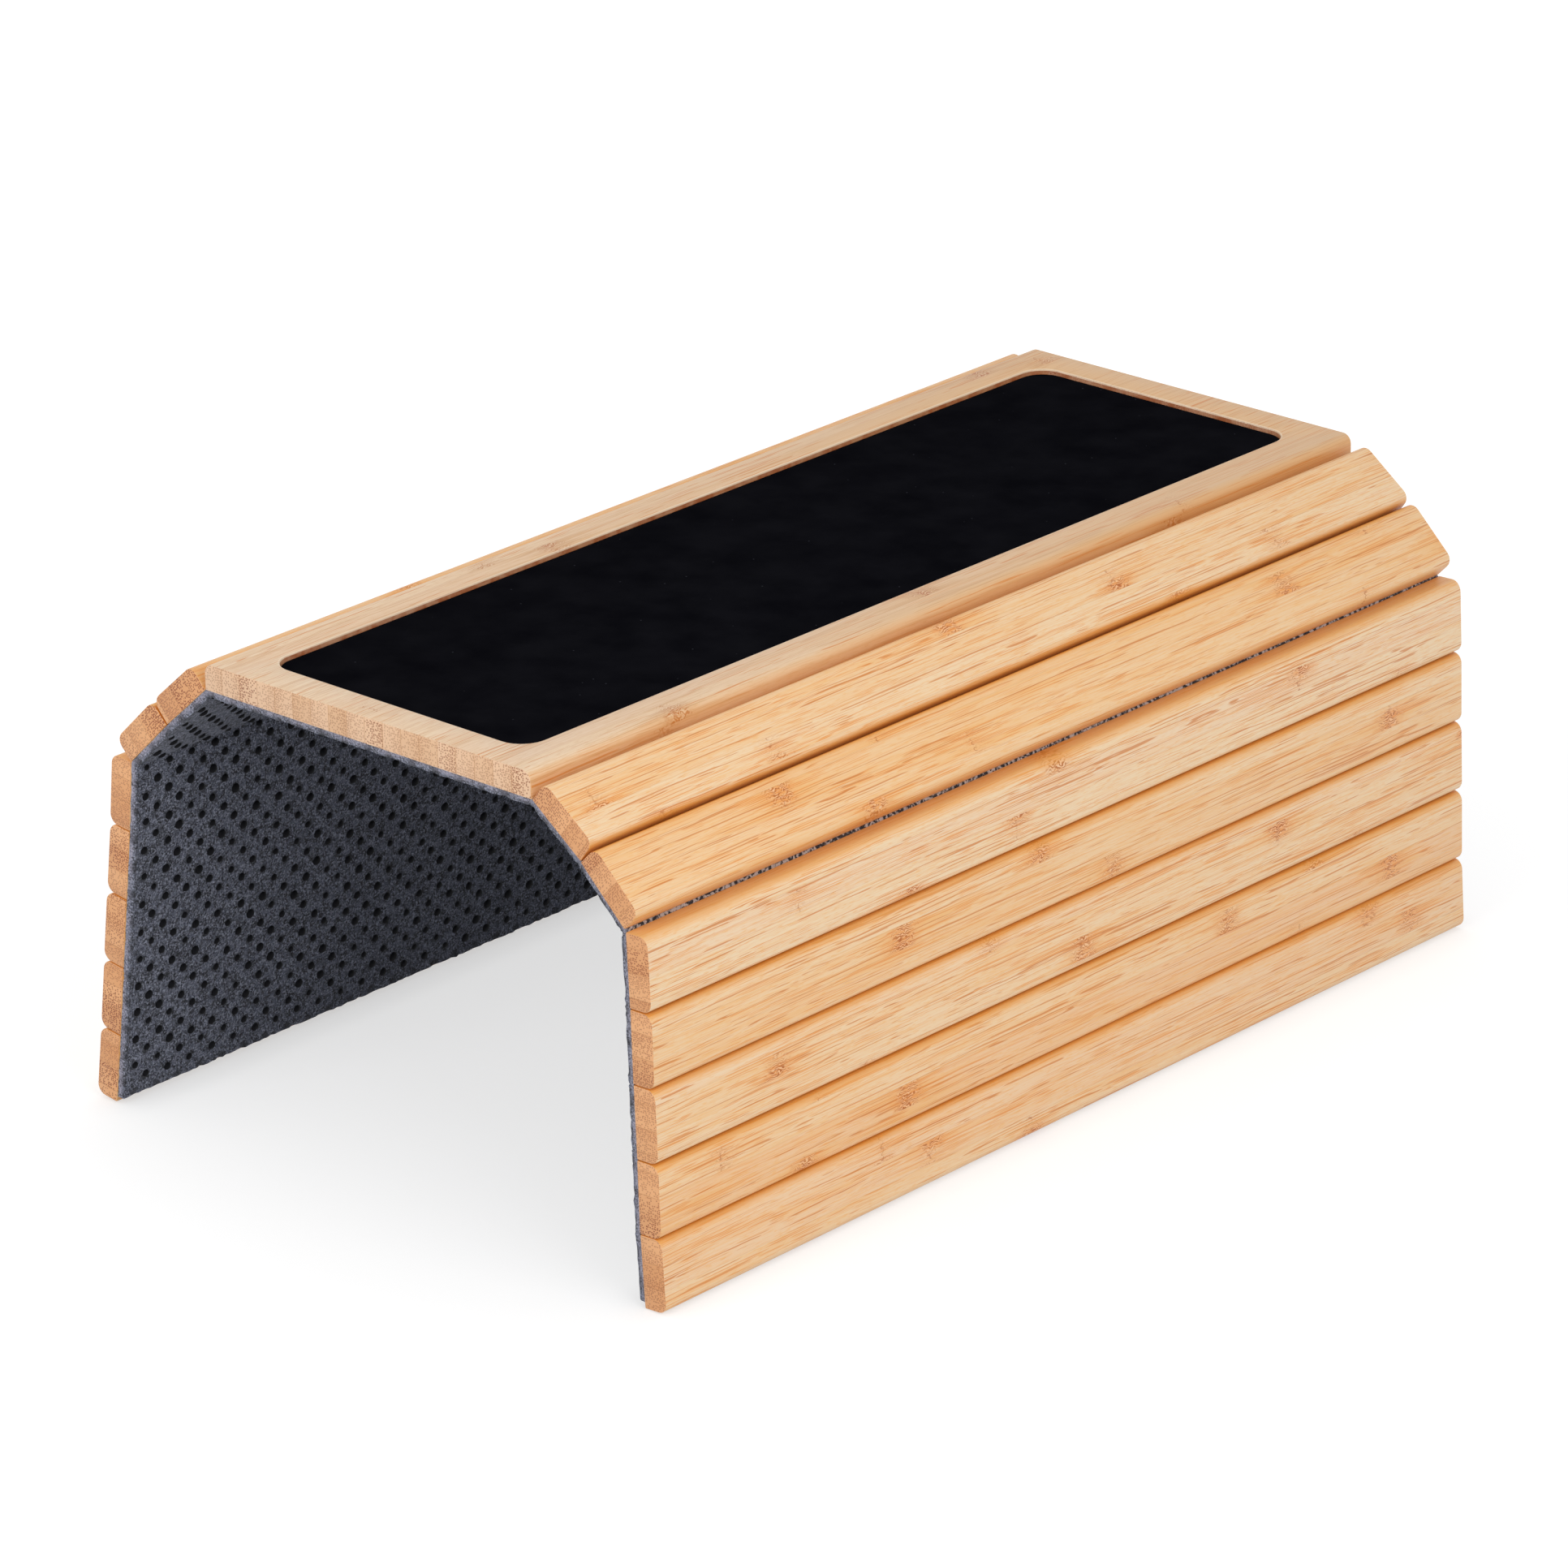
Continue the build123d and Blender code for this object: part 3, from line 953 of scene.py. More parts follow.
def mark_valleys(mesh: bpy.types.Mesh, edges: list[tuple[int, float, float]]) -> None:
    """Marks the long edges of a flat-lying piece of wood that are darkened by painted shade from the crease
    beside them.

    Args:
        mesh: the wood, lying flat with its length along Y.
        edges: for each edge the sign of X on its side, how far the painted shade reaches, and how strong it
            is.
    """
    x = points_of(mesh)[:, 0]
    pooled = np.zeros(len(x))
    for sign, reach, amount in edges:
        share = np.clip(1 - ((x * sign).max() - x * sign) / reach, 0.0, 1.0)
        pooled = np.maximum(pooled, amount * share * share * (3 - 2 * share))
    put_attribute(mesh, VALLEY, pooled)


def rounded_rectangle(half_x: float, half_y: float, radius: float, steps: int) -> list[tuple[float, float]]:
    """A rectangle with round corners.

    Args:
        half_x: half its width.
        half_y: half its length.
        radius: the corners' radius.
        steps: the number of runs in each corner's arc.

    Returns:
        Its points, anticlockwise, from the corner with the highest X and Y.
    """
    points = []
    for quarter, (sign_x, sign_y) in enumerate(((1, 1), (-1, 1), (-1, -1), (1, -1))):
        for step in range(steps + 1):
            angle = (quarter + step / steps) * math.pi / 2
            points.append((sign_x * (half_x - radius) + radius * math.cos(angle),
                           sign_y * (half_y - radius) + radius * math.sin(angle)))
    return points


@dataclass
class CentreBoard:
    """The centre board and the pad in its recess."""

    edge_rounding: float = 3.0 * MM
    end_break: float = 0.4 * MM
    rim_break: float = 0.5 * MM
    recess_corner: float = 8.0 * MM
    pad_clearance: float = 0.2 * MM
    pad_shoulder: float = 0.4 * MM
    # Painted shade in the crease where the board meets the first slat on each side: its reach and strength.
    valley: float = 2.0 * MM
    pooling: float = 0.3
    # The board turns more honey-coloured towards its far end, a painted shade.
    tone: tuple[float, float] = (-0.25, 1.0)
    corner_steps: int = 10
    lot: int = 0
    low: Vector = field(init=False)
    high: Vector = field(init=False)
    pad_low: Vector = field(init=False)
    pad_high: Vector = field(init=False)
    middle: float = field(init=False)

    def __post_init__(self) -> None:
        """Takes the board's and the pad's places from the frame."""
        self.low, self.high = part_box("centre_board")
        self.pad_low, self.pad_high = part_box("tray_inlay")
        self.middle = (self.low.x + self.high.x) / 2

    def outline(self, inset: float) -> list[tuple[float, float]]:
        """The board's cross-section.

        Args:
            inset: how far the section is drawn in, as at a broken edge.

        Returns:
            Its X and Z, from the lower left corner round to the upper left one.
        """
        half = (self.high.x - self.low.x) / 2
        thickness = self.high.z - self.low.z
        radius = self.edge_rounding
        points = [(-half + inset, inset), (half - inset, inset)]
        for sign in (1, -1):
            arc = []
            for step in range(self.corner_steps + 1):
                angle = step / self.corner_steps * math.pi / 2
                arc.append((sign * (half - radius + (radius - inset) * math.cos(angle)),
                            thickness - radius + (radius - inset) * math.sin(angle)))
            points += arc if sign > 0 else arc[::-1]
        return points

    def add_shell(self, points: list[tuple], faces: list[list[int]]) -> list[int]:
        """Adds the board's skin: sections along Y, with its flat top left open.

        Args:
            points: the mesh's points, which it adds to.
            faces: the mesh's faces, which it adds to.

        Returns:
            The corners of the opening, anticlockwise from the one with the highest X and Y.
        """
        half_y = (self.high.y - self.low.y) / 2
        ease = self.end_break * EASED_SHARE
        ends = [(self.end_break, half_y), (ease, half_y - ease), (0.0, half_y - self.end_break)]
        stations = [(inset, -y) for inset, y in ends] + [(inset, y) for inset, y in ends[::-1]]
        count = len(self.outline(0.0))
        for inset, y in stations:
            points += [(x, y, z) for x, z in self.outline(inset)]
        # In each section the flat top is the run between these two points.
        right, left = 2 + self.corner_steps, 3 + self.corner_steps
        middle_span = len(stations) // 2 - 1
        for span in range(len(stations) - 1):
            for k in range(count):
                if span == middle_span and k == right:
                    continue
                a, b = span * count + k, span * count + (k + 1) % count
                faces.append([a, b, b + count, a + count])
        faces.append(list(range(count)))
        faces.append([(len(stations) - 1) * count + k for k in range(count)])
        first = middle_span * count
        return [first + count + right, first + count + left, first + left, first + right]

    def add_recess(self, corners: list[int], points: list[tuple],
                   faces: list[list[int]]) -> tuple[int, int, int]:
        """Adds the flat top round the recess, its broken rim, its wall and its floor.

        Args:
            corners: the corners of the opening in the board's skin.
            points: the mesh's points, which it adds to.
            faces: the mesh's faces, which it adds to.

        Returns:
            Where the rim's faces start, where the wall's faces start, and where they end.
        """
        half_x = (self.pad_high.x - self.pad_low.x) / 2 + self.pad_clearance
        half_l = (self.pad_high.y - self.pad_low.y) / 2 + self.pad_clearance
        top, floor = self.high.z - self.low.z, self.pad_low.z - self.low.z
        ease = self.rim_break * EASED_SHARE
        loops = [(self.rim_break, top), (ease, top - ease), (0.0, top - self.rim_break), (0.0, floor)]
        starts = []
        for grow, z in loops:
            starts.append(len(points))
            loop = rounded_rectangle(half_x + grow, half_l + grow, self.recess_corner + grow,
                                     self.corner_steps)
            points += [(x, y, z) for x, y in loop]
        around = len(points) - starts[-1]
        per_corner = self.corner_steps + 1
        for corner in range(4):
            arc = [starts[0] + corner * per_corner + k for k in range(per_corner)]
            following = starts[0] + (corner + 1) % 4 * per_corner
            faces += [[corners[corner], arc[k + 1], arc[k]] for k in range(self.corner_steps)]
            faces.append([corners[corner], corners[(corner + 1) % 4], following, arc[-1]])
        rim_from = len(faces)
        for upper, lower in zip(starts[:-1], starts[1:]):
            faces += [[upper + k, upper + (k + 1) % around, lower + (k + 1) % around, lower + k]
                      for k in range(around)]
        wall_to = len(faces)
        faces.append([starts[-1] + k for k in range(around)])
        return rim_from, wall_to - around, wall_to

    def board_mesh(self) -> bpy.types.Mesh:
        """Builds the board with its recess, and marks the recess's wall to be painted darker and its rim for
        a painted highlight.

        Returns:
            The mesh, centred on X and Y, with its felt face at Z zero.
        """
        points: list[tuple] = []
        faces: list[list[int]] = []
        corners = self.add_shell(points, faces)
        rim_from, wall_from, wall_to = self.add_recess(corners, points, faces)
        mesh = make_mesh("centre_board", points, faces)
        for name, start, end in ((WALL_DARK, wall_from, wall_to), (RIM_HIGHLIGHT, rim_from, wall_from)):
            marks = np.zeros(len(faces))
            marks[start:end] = 1.0
            put_attribute(mesh, name, marks, "FACE")
        return mesh

    def build_board(self, bamboo: LacqueredBamboo, material: bpy.types.Material) -> bpy.types.Object:
        """Builds and dresses the board.

        Args:
            bamboo: its finish.
            material: the finish's material.

        Returns:
            The piece.
        """
        mesh = self.board_mesh()
        mark_grain(mesh, self.lot, bamboo.strip_mm, 0.0, 0.0, self.tone)
        mark_valleys(mesh, [(1, self.valley, self.pooling), (-1, self.valley, self.pooling)])
        mesh.transform(Matrix.Translation((self.middle, 0.0, self.low.z)))
        piece = link_piece("board_panel", mesh, material)
        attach(piece, "board")
        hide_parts("centre_board")
        return piece

    def build_pad(self, material: bpy.types.Material) -> bpy.types.Object:
        """Builds and dresses the pad in the recess.

        Args:
            material: its material.

        Returns:
            The piece.
        """
        half_x = (self.pad_high.x - self.pad_low.x) / 2
        half_y = (self.pad_high.y - self.pad_low.y) / 2
        radius = self.recess_corner - self.pad_clearance
        soft = self.pad_shoulder
        low, high = self.pad_low.z, self.pad_high.z
        rings = [(0.0, low), (0.0, high - soft)]
        rings += [(soft * (1 - math.cos(a)), high - soft + soft * math.sin(a))
                  for a in (math.pi / 6, math.pi / 3, math.pi / 2)]
        points: list[tuple] = []
        for inset, z in rings:
            loop = rounded_rectangle(half_x - inset, half_y - inset, radius - inset, self.corner_steps)
            points += [(x + self.middle, y, z) for x, y in loop]
        around = len(points) // len(rings)
        faces = [list(range(around)), [len(points) - around + k for k in range(around)]]
        for ring in range(len(rings) - 1):
            lower, upper = ring * around, (ring + 1) * around
            faces += [[lower + k, lower + (k + 1) % around, upper + (k + 1) % around, upper + k]
                      for k in range(around)]
        piece = link_piece("recess_pad", make_mesh("recess_pad", points, faces), material)
        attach(piece, "board")
        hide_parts("tray_inlay")
        return piece


@dataclass
class Flank:
    """One flank: its seven slats, the felt glued under them, and the dots on the felt."""

    side: Side
    first_lot: int
    seed: int
    slats: int = 7
    rounding: float = 3.0 * MM
    end_break: float = 0.3 * MM
    # Painted shade in each joint's crease reaches further down from the joint above than up from the one
    # below.
    valley_above: tuple[float, ...] = (3.1 * MM, 2.5 * MM, 2.4 * MM, 2.8 * MM, 2.8 * MM, 2.8 * MM, 2.8 * MM)
    valley_below: float = 1.2 * MM
    # How strong the painted shade is at the lower edge of each joint, from the board's joint outwards.
    pooling: tuple[float, ...] = (0.3, 0.92, 0.66, 0.84, 0.84, 0.84, 0.84)
    # How strong that painted shade is at the upper edge of each joint, from the board's joint outwards.
    pooling_up: tuple[float, ...] = (0.3, 0.8, 0.24, 0.38, 0.38, 0.38, 0.38)
    # How honey-coloured each slat is, from the board outwards.
    tones: tuple[float, ...] = (0.08, 0.36, -0.4, 0.12, 0.0, 0.18, 0.2)
    # Slats differ a little in length, by up to this much at each end.
    end_trim: float = 0.25 * MM
    # The slat under the wide gap is glued on a little skew, so that the gap closes towards its far end.
    skew_slat: int = 2
    skew: tuple[float, float] = (0.2 * MM, 0.7 * MM)
    felt_thickness: float = 2.2 * MM
    felt_end_margin: float = 0.4 * MM
    free_edge_margin: float = 1.6 * MM
    # The felt bends over this much on each side of a joint.
    bend_reach: float = 3.0 * MM
    felt_step: float = 1.5 * MM
    felt_layers: int = 4
    # The felt's free face is lumpy, in coarse lumps with finer ones on them.
    felt_lumps: float = 0.16 * MM
    lumps_per_mm: tuple[float, float] = (0.45, 1.1)
    fine_share: float = 0.6
    felt_shoulder: float = 0.35 * MM
    # How far loose fibres stand proud at a cut edge, and how far the felt is worn back there.
    frays_per_mm: float = 0.9
    frayed: float = 0.5 * MM
    worn: float = 0.5 * MM
    worn_free_edge: float = 0.6 * MM
    glue_line: float = 0.03 * MM
    dot_column_step: float = 4.375 * MM
    dot_row_step: float = 4.375 * MM
    dot_edge_margin: float = 1.4 * MM
    dot_diameter: float = 2.45 * MM
    dot_height: float = 0.6 * MM
    joints: list[np.ndarray] = field(init=False)
    places: list[WoodPlace] = field(init=False)
    random: np.random.Generator = field(init=False)

    def __post_init__(self) -> None:
        """Takes the joints and the slats' places from the frame."""
        label = self.side.label
        found = {joint["name"]: np.array(joint["pos_m"]) for joint in frame["joints"]}
        self.joints = [found[f"{label}_bend_{k + 1}"] for k in range(self.slats)]
        self.places = [WoodPlace.measure(f"{label}_slat_{k + 1}", self.side) for k in range(self.slats)]
        self.random = np.random.default_rng(self.seed)

    def body(self, slat: int) -> str:
        """The name of the body that a slat is on, where slat 0 is the board."""
        return f"{self.side.label}_{slat}" if slat else "board"

    def build_slats(self, tree: bpy.types.NodeTree, bamboo: LacqueredBamboo, material: bpy.types.Material,
                    ) -> list[bpy.types.Object]:
        """Builds and dresses the slats.

        Args:
            tree: the tree that makes one slat.
            bamboo: their finish.
            material: the finish's material.

        Returns:
            The pieces, from the board outwards.
        """
        pieces = []
        for k, place in enumerate(self.places):
            trim = self.random.uniform(0.0, self.end_trim, 2)
            mesh = run_tree(tree, {
                "Length": float(place.length - trim.sum()), "Width": float(place.width),
                "Thickness": float(place.thickness), "Rounding": self.rounding, "Material": material,
            }, self.end_break)
            mesh.transform(Matrix.Translation((0.0, (trim[0] - trim[1]) / 2, 0.0)))
            mark_grain(mesh, self.first_lot + k, bamboo.strip_mm, self.random.uniform(),
                       -place.thickness / 2, (self.tones[k],) * 2)
            edges = [(-self.side.value, self.valley_above[k], self.pooling[k])]
            if k < self.slats - 1:
                edges.append((self.side.value, self.valley_below, self.pooling_up[k + 1]))
            mark_valleys(mesh, edges)
            if self.side is Side.RIGHT and k == self.skew_slat:
                self.skew_near_edge(mesh)
            mesh.transform(place.matrix(self.side))
            piece = link_piece(f"{self.side.label}_slat_bamboo_{k + 1}", mesh, material)
            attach(piece, self.body(k + 1))
            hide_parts(f"{self.side.label}_slat_{k + 1}")
            pieces.append(piece)
        return pieces

    def skew_near_edge(self, mesh: bpy.types.Mesh) -> None:
        """Moves the joint's edge of a flat-lying slat towards the joint, more at its far end.

        Args:
            mesh: the slat, lying flat with its length along Y.
        """
        points = points_of(mesh)
        near = -self.side.value * points[:, 0]
        share = np.clip((near - (near.max() - self.rounding)) / self.rounding, 0.0, 1.0)
        reach = np.interp(points[:, 1], (points[:, 1].min(), points[:, 1].max()), self.skew)
        points[:, 0] -= self.side.value * share * reach
        set_points(mesh, points)

    def felt_span(self, k: int, middle: float) -> tuple[float, float]:
        """How far a piece of felt reaches from its joint, along the felt.

        Args:
            k: the joint, counted from 0 at the board.
            middle: the X of the board's middle.

        Returns:
            Its start, towards the board and so below zero, and its end.
        """
        if k:
            start = -float(np.linalg.norm(self.joints[k] - self.joints[k - 1])) / 2
        else:
            start = -abs(self.joints[0][0] - middle)
        if k < self.slats - 1:
            return start, float(np.linalg.norm(self.joints[k + 1] - self.joints[k])) / 2
        place = self.places[k]
        reach = (place.centre - self.joints[k]) @ place.away + place.width / 2
        return start, float(reach) - self.free_edge_margin

    def fold(self, points: np.ndarray, k: int) -> np.ndarray:
        """Folds flat felt over its joint, as it lies at rest.

        Args:
            points: along the felt from the joint, along the slats, and outwards from the glued face.
            k: the joint, counted from 0 at the board.

        Returns:
            The points in the row's frame.
        """
        before = self.places[k - 1] if k else None
        along = before.away if k else np.array([float(self.side.value), 0.0, 0.0])
        outward = before.outward if k else np.array([0.0, 0.0, 1.0])
        after = self.places[k]
        bend = math.atan2(-float(after.away @ outward), float(after.away @ along))
        share = np.clip((points[:, 0] + self.bend_reach) / (2 * self.bend_reach), 0.0, 1.0)
        turn = bend * share * share * (3 - 2 * share)
        run = points[:, 0] * np.cos(turn) + points[:, 2] * np.sin(turn)
        rise = -points[:, 0] * np.sin(turn) + points[:, 2] * np.cos(turn)
        placed = self.joints[k] + run[:, None] * along + rise[:, None] * outward
        placed[:, 1] = points[:, 1]
        return placed

    def felt_lattice(self, k: int, start: float, end: float) -> tuple[bpy.types.Mesh, np.ndarray]:
        """Lays out a flat block of felt, its points closest together where it bends.

        Args:
            k: the joint that it lies over, counted from 0 at the board.
            start: where it starts along the felt, from the joint.
            end: where it ends.

        Returns:
            The mesh, and for each point whether it lies on a cut edge.
        """
        half = self.places[k].length / 2 - self.felt_end_margin
        fine = np.arange(-self.bend_reach, self.bend_reach + MM / 2, self.bend_reach / 5)
        before = np.linspace(start, fine[0], max(2, round((fine[0] - start) / self.felt_step)))[:-1]
        after = np.linspace(fine[-1], end, max(2, round((end - fine[-1]) / self.felt_step)))[1:]
        along = np.concatenate([before, fine, after])
        rows = np.linspace(-half, half, round(2 * half / self.felt_step))
        depth = np.linspace(-self.glue_line, -self.felt_thickness, self.felt_layers)
        shape = (len(along), len(rows), len(depth))
        free_edge = shape[0] - 1 if k == self.slats - 1 else -1
        points, faces, cut = [], [], []
        number: dict[tuple[int, int, int], int] = {}

        def point(i: int, j: int, d: int) -> int:
            """Finds the point at a crossing of the block's lattice, and makes it if it is new.

            Args:
                i: the crossing's place along the felt.
                j: its row.
                d: its layer.

            Returns:
                The point's number.
            """
            if (i, j, d) not in number:
                number[i, j, d] = len(points)
                points.append((along[i], rows[j], depth[d]))
                cut.append(j in (0, shape[1] - 1) or i == free_edge)
            return number[i, j, d]

        for axis in range(3):
            one, two = [a for a in range(3) if a != axis]
            for level in (0, shape[axis] - 1):
                for p in range(shape[one] - 1):
                    for q in range(shape[two] - 1):
                        quad = []
                        for dp, dq in ((0, 0), (1, 0), (1, 1), (0, 1)):
                            crossing = [0, 0, 0]
                            crossing[axis], crossing[one], crossing[two] = level, p + dp, q + dq
                            quad.append(point(*crossing))
                        faces.append(quad)
        return make_mesh("felt", points, faces), np.array(cut)

    def ruffle(self, flat: np.ndarray, cloth: np.ndarray, cut: np.ndarray, free_edge: float) -> None:
        """Makes the free face of a flat block uneven and its cut edges ragged.

        Args:
            flat: the block's points, which it moves.
            cloth: the cloth's own coordinates at them, in millimetres.
            cut: for each point whether it lies on a cut edge.
            free_edge: where along the block its free edge lies, or past its end where it has none.
        """
        for i, row in enumerate(cloth):
            below_glue = flat[i, 2] < -self.glue_line * 2
            if cut[i]:
                way = noise.noise_vector(Vector(row) * self.frays_per_mm)
                worn = abs(way.y) * self.worn + self.felt_shoulder * (flat[i, 2] / self.felt_thickness) ** 2
                flat[i, 1] -= worn * np.sign(flat[i, 1])
                if below_glue:
                    flat[i, 2] += way.z * self.frayed * flat[i, 2] / self.felt_thickness
                if flat[i, 0] >= free_edge - 1e-9:
                    flat[i, 0] -= abs(way.x) * self.worn_free_edge
            if below_glue:
                share = -flat[i, 2] / self.felt_thickness
                coarse, fine = (noise.noise(Vector(row) * each) for each in self.lumps_per_mm)
                flat[i, 2] += (coarse + self.fine_share * fine) * self.felt_lumps * share

    def felt_block(self, k: int, start: float, end: float, run_before: float) -> bpy.types.Mesh:
        """Builds a flat piece of felt with an uneven free face and ragged cut edges.

        Args:
            k: the joint that it lies over, counted from 0 at the board.
            start: where it starts along the felt, from the joint.
            end: where it ends.
            run_before: the length of felt from the board's middle to the joint.

        Returns:
            The mesh, with the cloth's own coordinates.
        """
        mesh, cut = self.felt_lattice(k, start, end)
        flat = points_of(mesh)
        cloth = flat / MM
        cloth[:, 0] = (run_before / MM + cloth[:, 0]) * self.side.value
        put_attribute(mesh, CLOTH, cloth)
        put_attribute(mesh, CUT_EDGE, cut.astype(float))
        self.ruffle(flat, cloth, cut, end if k == self.slats - 1 else math.inf)
        set_points(mesh, flat)
        return mesh

    def dot_block(self, k: int, start: float, end: float, run_before: float, tree: bpy.types.NodeTree,
                  material: bpy.types.Material) -> bpy.types.Mesh:
        """Builds the dots on a flat piece of felt.

        Args:
            k: the joint that the felt lies over, counted from 0 at the board.
            start: where the felt starts, from the joint.
            end: where it ends.
            run_before: the length of felt from the board's middle to the joint.
            tree: the tree that makes a field of dots.
            material: their material.

        Returns:
            The mesh.
        """
        if k == self.slats - 1:
            end -= self.dot_edge_margin
        # A dot that stands on the line between two pieces of felt belongs to the one that it starts.
        first = math.ceil((run_before + start) / self.dot_column_step - 1e-6)
        last = math.ceil((run_before + end) / self.dot_column_step - 1e-6)
        half_rows = int((self.places[k].length / 2 - self.felt_end_margin - self.dot_edge_margin)
                        / self.dot_row_step)
        parity = (first + half_rows) % 2
        return run_tree(tree, {
            "First Column": first * self.dot_column_step - run_before,
            "First Row": -half_rows * self.dot_row_step,
            "Column Step": self.dot_column_step, "Row Step": self.dot_row_step,
            "Level": -self.felt_thickness, "Diameter": self.dot_diameter, "Height": self.dot_height,
            "Columns": last - first, "Rows": 2 * half_rows + 1, "Parity": parity,
            "Seed": self.seed + k, "Material": material,
        })

    def build_felt(self, middle: float, felt: bpy.types.Material, grip: bpy.types.Material,
                   tree: bpy.types.NodeTree) -> list[bpy.types.Object]:
        """Builds and dresses the felt and its dots, in a piece over each joint.

        Args:
            middle: the X of the board's middle.
            felt: the felt's material.
            grip: the dots' material.
            tree: the tree that makes a field of dots.

        Returns:
            The pieces, from the board outwards.
        """
        pieces = []
        run = abs(float(self.joints[0][0]) - middle)
        for k in range(self.slats):
            start, end = self.felt_span(k, middle)
            sheet = self.felt_block(k, start, end, run)
            dots = self.dot_block(k, start, end, run, tree, grip)
            for mesh in (sheet, dots):
                set_points(mesh, self.fold(points_of(mesh), k))
                if self.side is Side.LEFT:
                    mesh.flip_normals()
            label = self.side.label
            cloth = link_piece(f"felt_over_{label}_bend_{k + 1}", sheet, felt, 60.0)
            grips = link_piece(f"grip_dots_{label}_bend_{k + 1}", dots, grip, 60.0)
            ends = self.fold(np.array([[-self.bend_reach, 0, 0], [self.bend_reach, 0, 0]]), k)
            for piece in (cloth, grips):
                self.body(k)
                self.body(k + 1)
                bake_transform(piece)
            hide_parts(f"felt_{label}_{k + 1}", *([] if k else ["felt_centre"]))
            pieces += [cloth, grips]
            if k < self.slats - 1:
                run += float(np.linalg.norm(self.joints[k + 1] - self.joints[k]))
        return pieces


@dataclass(frozen=True)
class Softbox:
    """A square softbox that faces the tray, with its azimuth measured as the camera's is."""

    name: str
    azimuth: float
    elevation: float
    distance: float
    size: float
    watts: float


@dataclass
class Studio:
    """The pale floor, the soft lights and the camera."""

    azimuth: float = 42.93
    elevation: float = 22.0
    roll: float = -1.15
    distance: float = 2.309
    target: tuple[float, float, float] = (-0.0237, 0.0225, 0.0587)
    lens_mm: float = 179.4
    sensor_mm: float = 36.0
    floor_size: float = 12.0
    floor_drop: float = 0.0002
    floor_colour: str = "E6E6E6"
    # The floor glows to the camera, which keeps its shadows pale, and shows this colour besides.
    floor_glow: float = 0.66
    floor_shown: str = "B8B8B8"
    # Near the tray the floor glows less, a painted shade round it; past the shadows it glows a little more,
    # and so meets the white behind it without a line.
    far_glow: float = 0.76
    shadow_reach: tuple[float, float] = (0.35, 0.9)
    # Where the tray stands, a thin line of shade remains in the glow.
    contact_reach: float = 0.012
    contact_shade: float = 0.85
    room_light: float = 0.62
    softboxes: tuple[Softbox, ...] = (
        Softbox("key_softbox", azimuth=80.0, elevation=30.0, distance=2.2, size=1.4, watts=13.0),
        Softbox("front_softbox", azimuth=-5.0, elevation=24.0, distance=2.4, size=1.6, watts=14.0),
        Softbox("top_softbox", azimuth=-120.0, elevation=70.0, distance=2.4, size=1.8, watts=4.0),
    )

    @staticmethod
    def seen(tree: bpy.types.NodeTree) -> bpy.types.NodeSocket:
        """Tells what is looked at, straight or in a gloss or through glass, from what only lights the tray.

        Args:
            tree: the tree that gets the nodes.

        Returns:
            1 where it is looked at, and 0 elsewhere.
        """
        n = partial(add_node, tree)
        rays = n("ShaderNodeLightPath").node.outputs
        straight = n(MATH, [rays["Is Camera Ray"], rays["Is Glossy Ray"]], operation="MAXIMUM")
        return n(MATH, [straight, rays["Is Transmission Ray"]], operation="MAXIMUM")

    def build_floor(self) -> bpy.types.Object:
        """Builds the floor, white to the camera and with a pale shadow.

        Returns:
            The floor.
        """
        half = self.floor_size / 2
        corners = [(-half, -half, -self.floor_drop), (half, -half, -self.floor_drop),
                   (half, half, -self.floor_drop), (-half, half, -self.floor_drop)]
        mesh = bpy.data.meshes.new("floor")
        mesh.from_pydata(corners, [], [(0, 1, 2, 3)])
        material, tree = new_material("matt_white_backdrop_paper")
        n = partial(add_node, tree)
        paper = n("ShaderNodeBsdfDiffuse", {"Color": linear(self.floor_colour)})
        far = n(VECTOR_MATH, [n("ShaderNodeTexCoord", out="Object")], out="Value", operation="LENGTH")
        strength = n(MAP_RANGE, [far, *self.shadow_reach, self.floor_glow, self.far_glow])
        opening = n("ShaderNodeAmbientOcclusion", {"Distance": self.contact_reach}, out="AO", samples=4)
        contact = n(MAP_RANGE, [opening, 0.4, 1.0, self.contact_shade, 1.0])
        strength = n(MATH, [strength, contact], operation="MULTIPLY")
        glow = n("ShaderNodeEmission", {"Color": linear("FFFFFF"), "Strength": strength})
        pale = n("ShaderNodeBsdfDiffuse", {"Color": linear(self.floor_shown)})
        shown = n("ShaderNodeAddShader", [pale, glow])
        n("ShaderNodeOutputMaterial", {"Surface": n("ShaderNodeMixShader", [self.seen(tree), paper, shown])})
        mesh.materials.append(material)
        floor = bpy.data.objects.new("floor", mesh)
        bpy.context.scene.collection.objects.link(floor)
        return floor

    def build_world(self) -> None:
        """Lights the scene evenly from all round, and shows white behind it."""
        world = bpy.data.worlds.new("white_room")
        bpy.context.scene.world = world
        world.use_nodes = True
        tree = world.node_tree
        tree.nodes.clear()
        n = partial(add_node, tree)
        strength = n(MAP_RANGE, [self.seen(tree), 0.0, 1.0, self.room_light, 1.0])
        light = n("ShaderNodeBackground", {"Color": linear("FFFFFF"), "Strength": strength})
        n("ShaderNodeOutputWorld", {"Surface": light})

    def add_softbox(self, softbox: Softbox) -> None:
        """Adds a softbox to the scene.

        Args:
            softbox: its place, its size and its power.
        """
        light = bpy.data.lights.new(softbox.name, "AREA")
        light.shape, light.size, light.energy = "SQUARE", softbox.size, softbox.watts
        lamp = bpy.data.objects.new(softbox.name, light)
        bpy.context.scene.collection.objects.link(lamp)
        back = self.direction(softbox.azimuth, softbox.elevation)
        lamp.location = back * softbox.distance
        lamp.rotation_euler = back.to_track_quat("Z", "Y").to_euler()

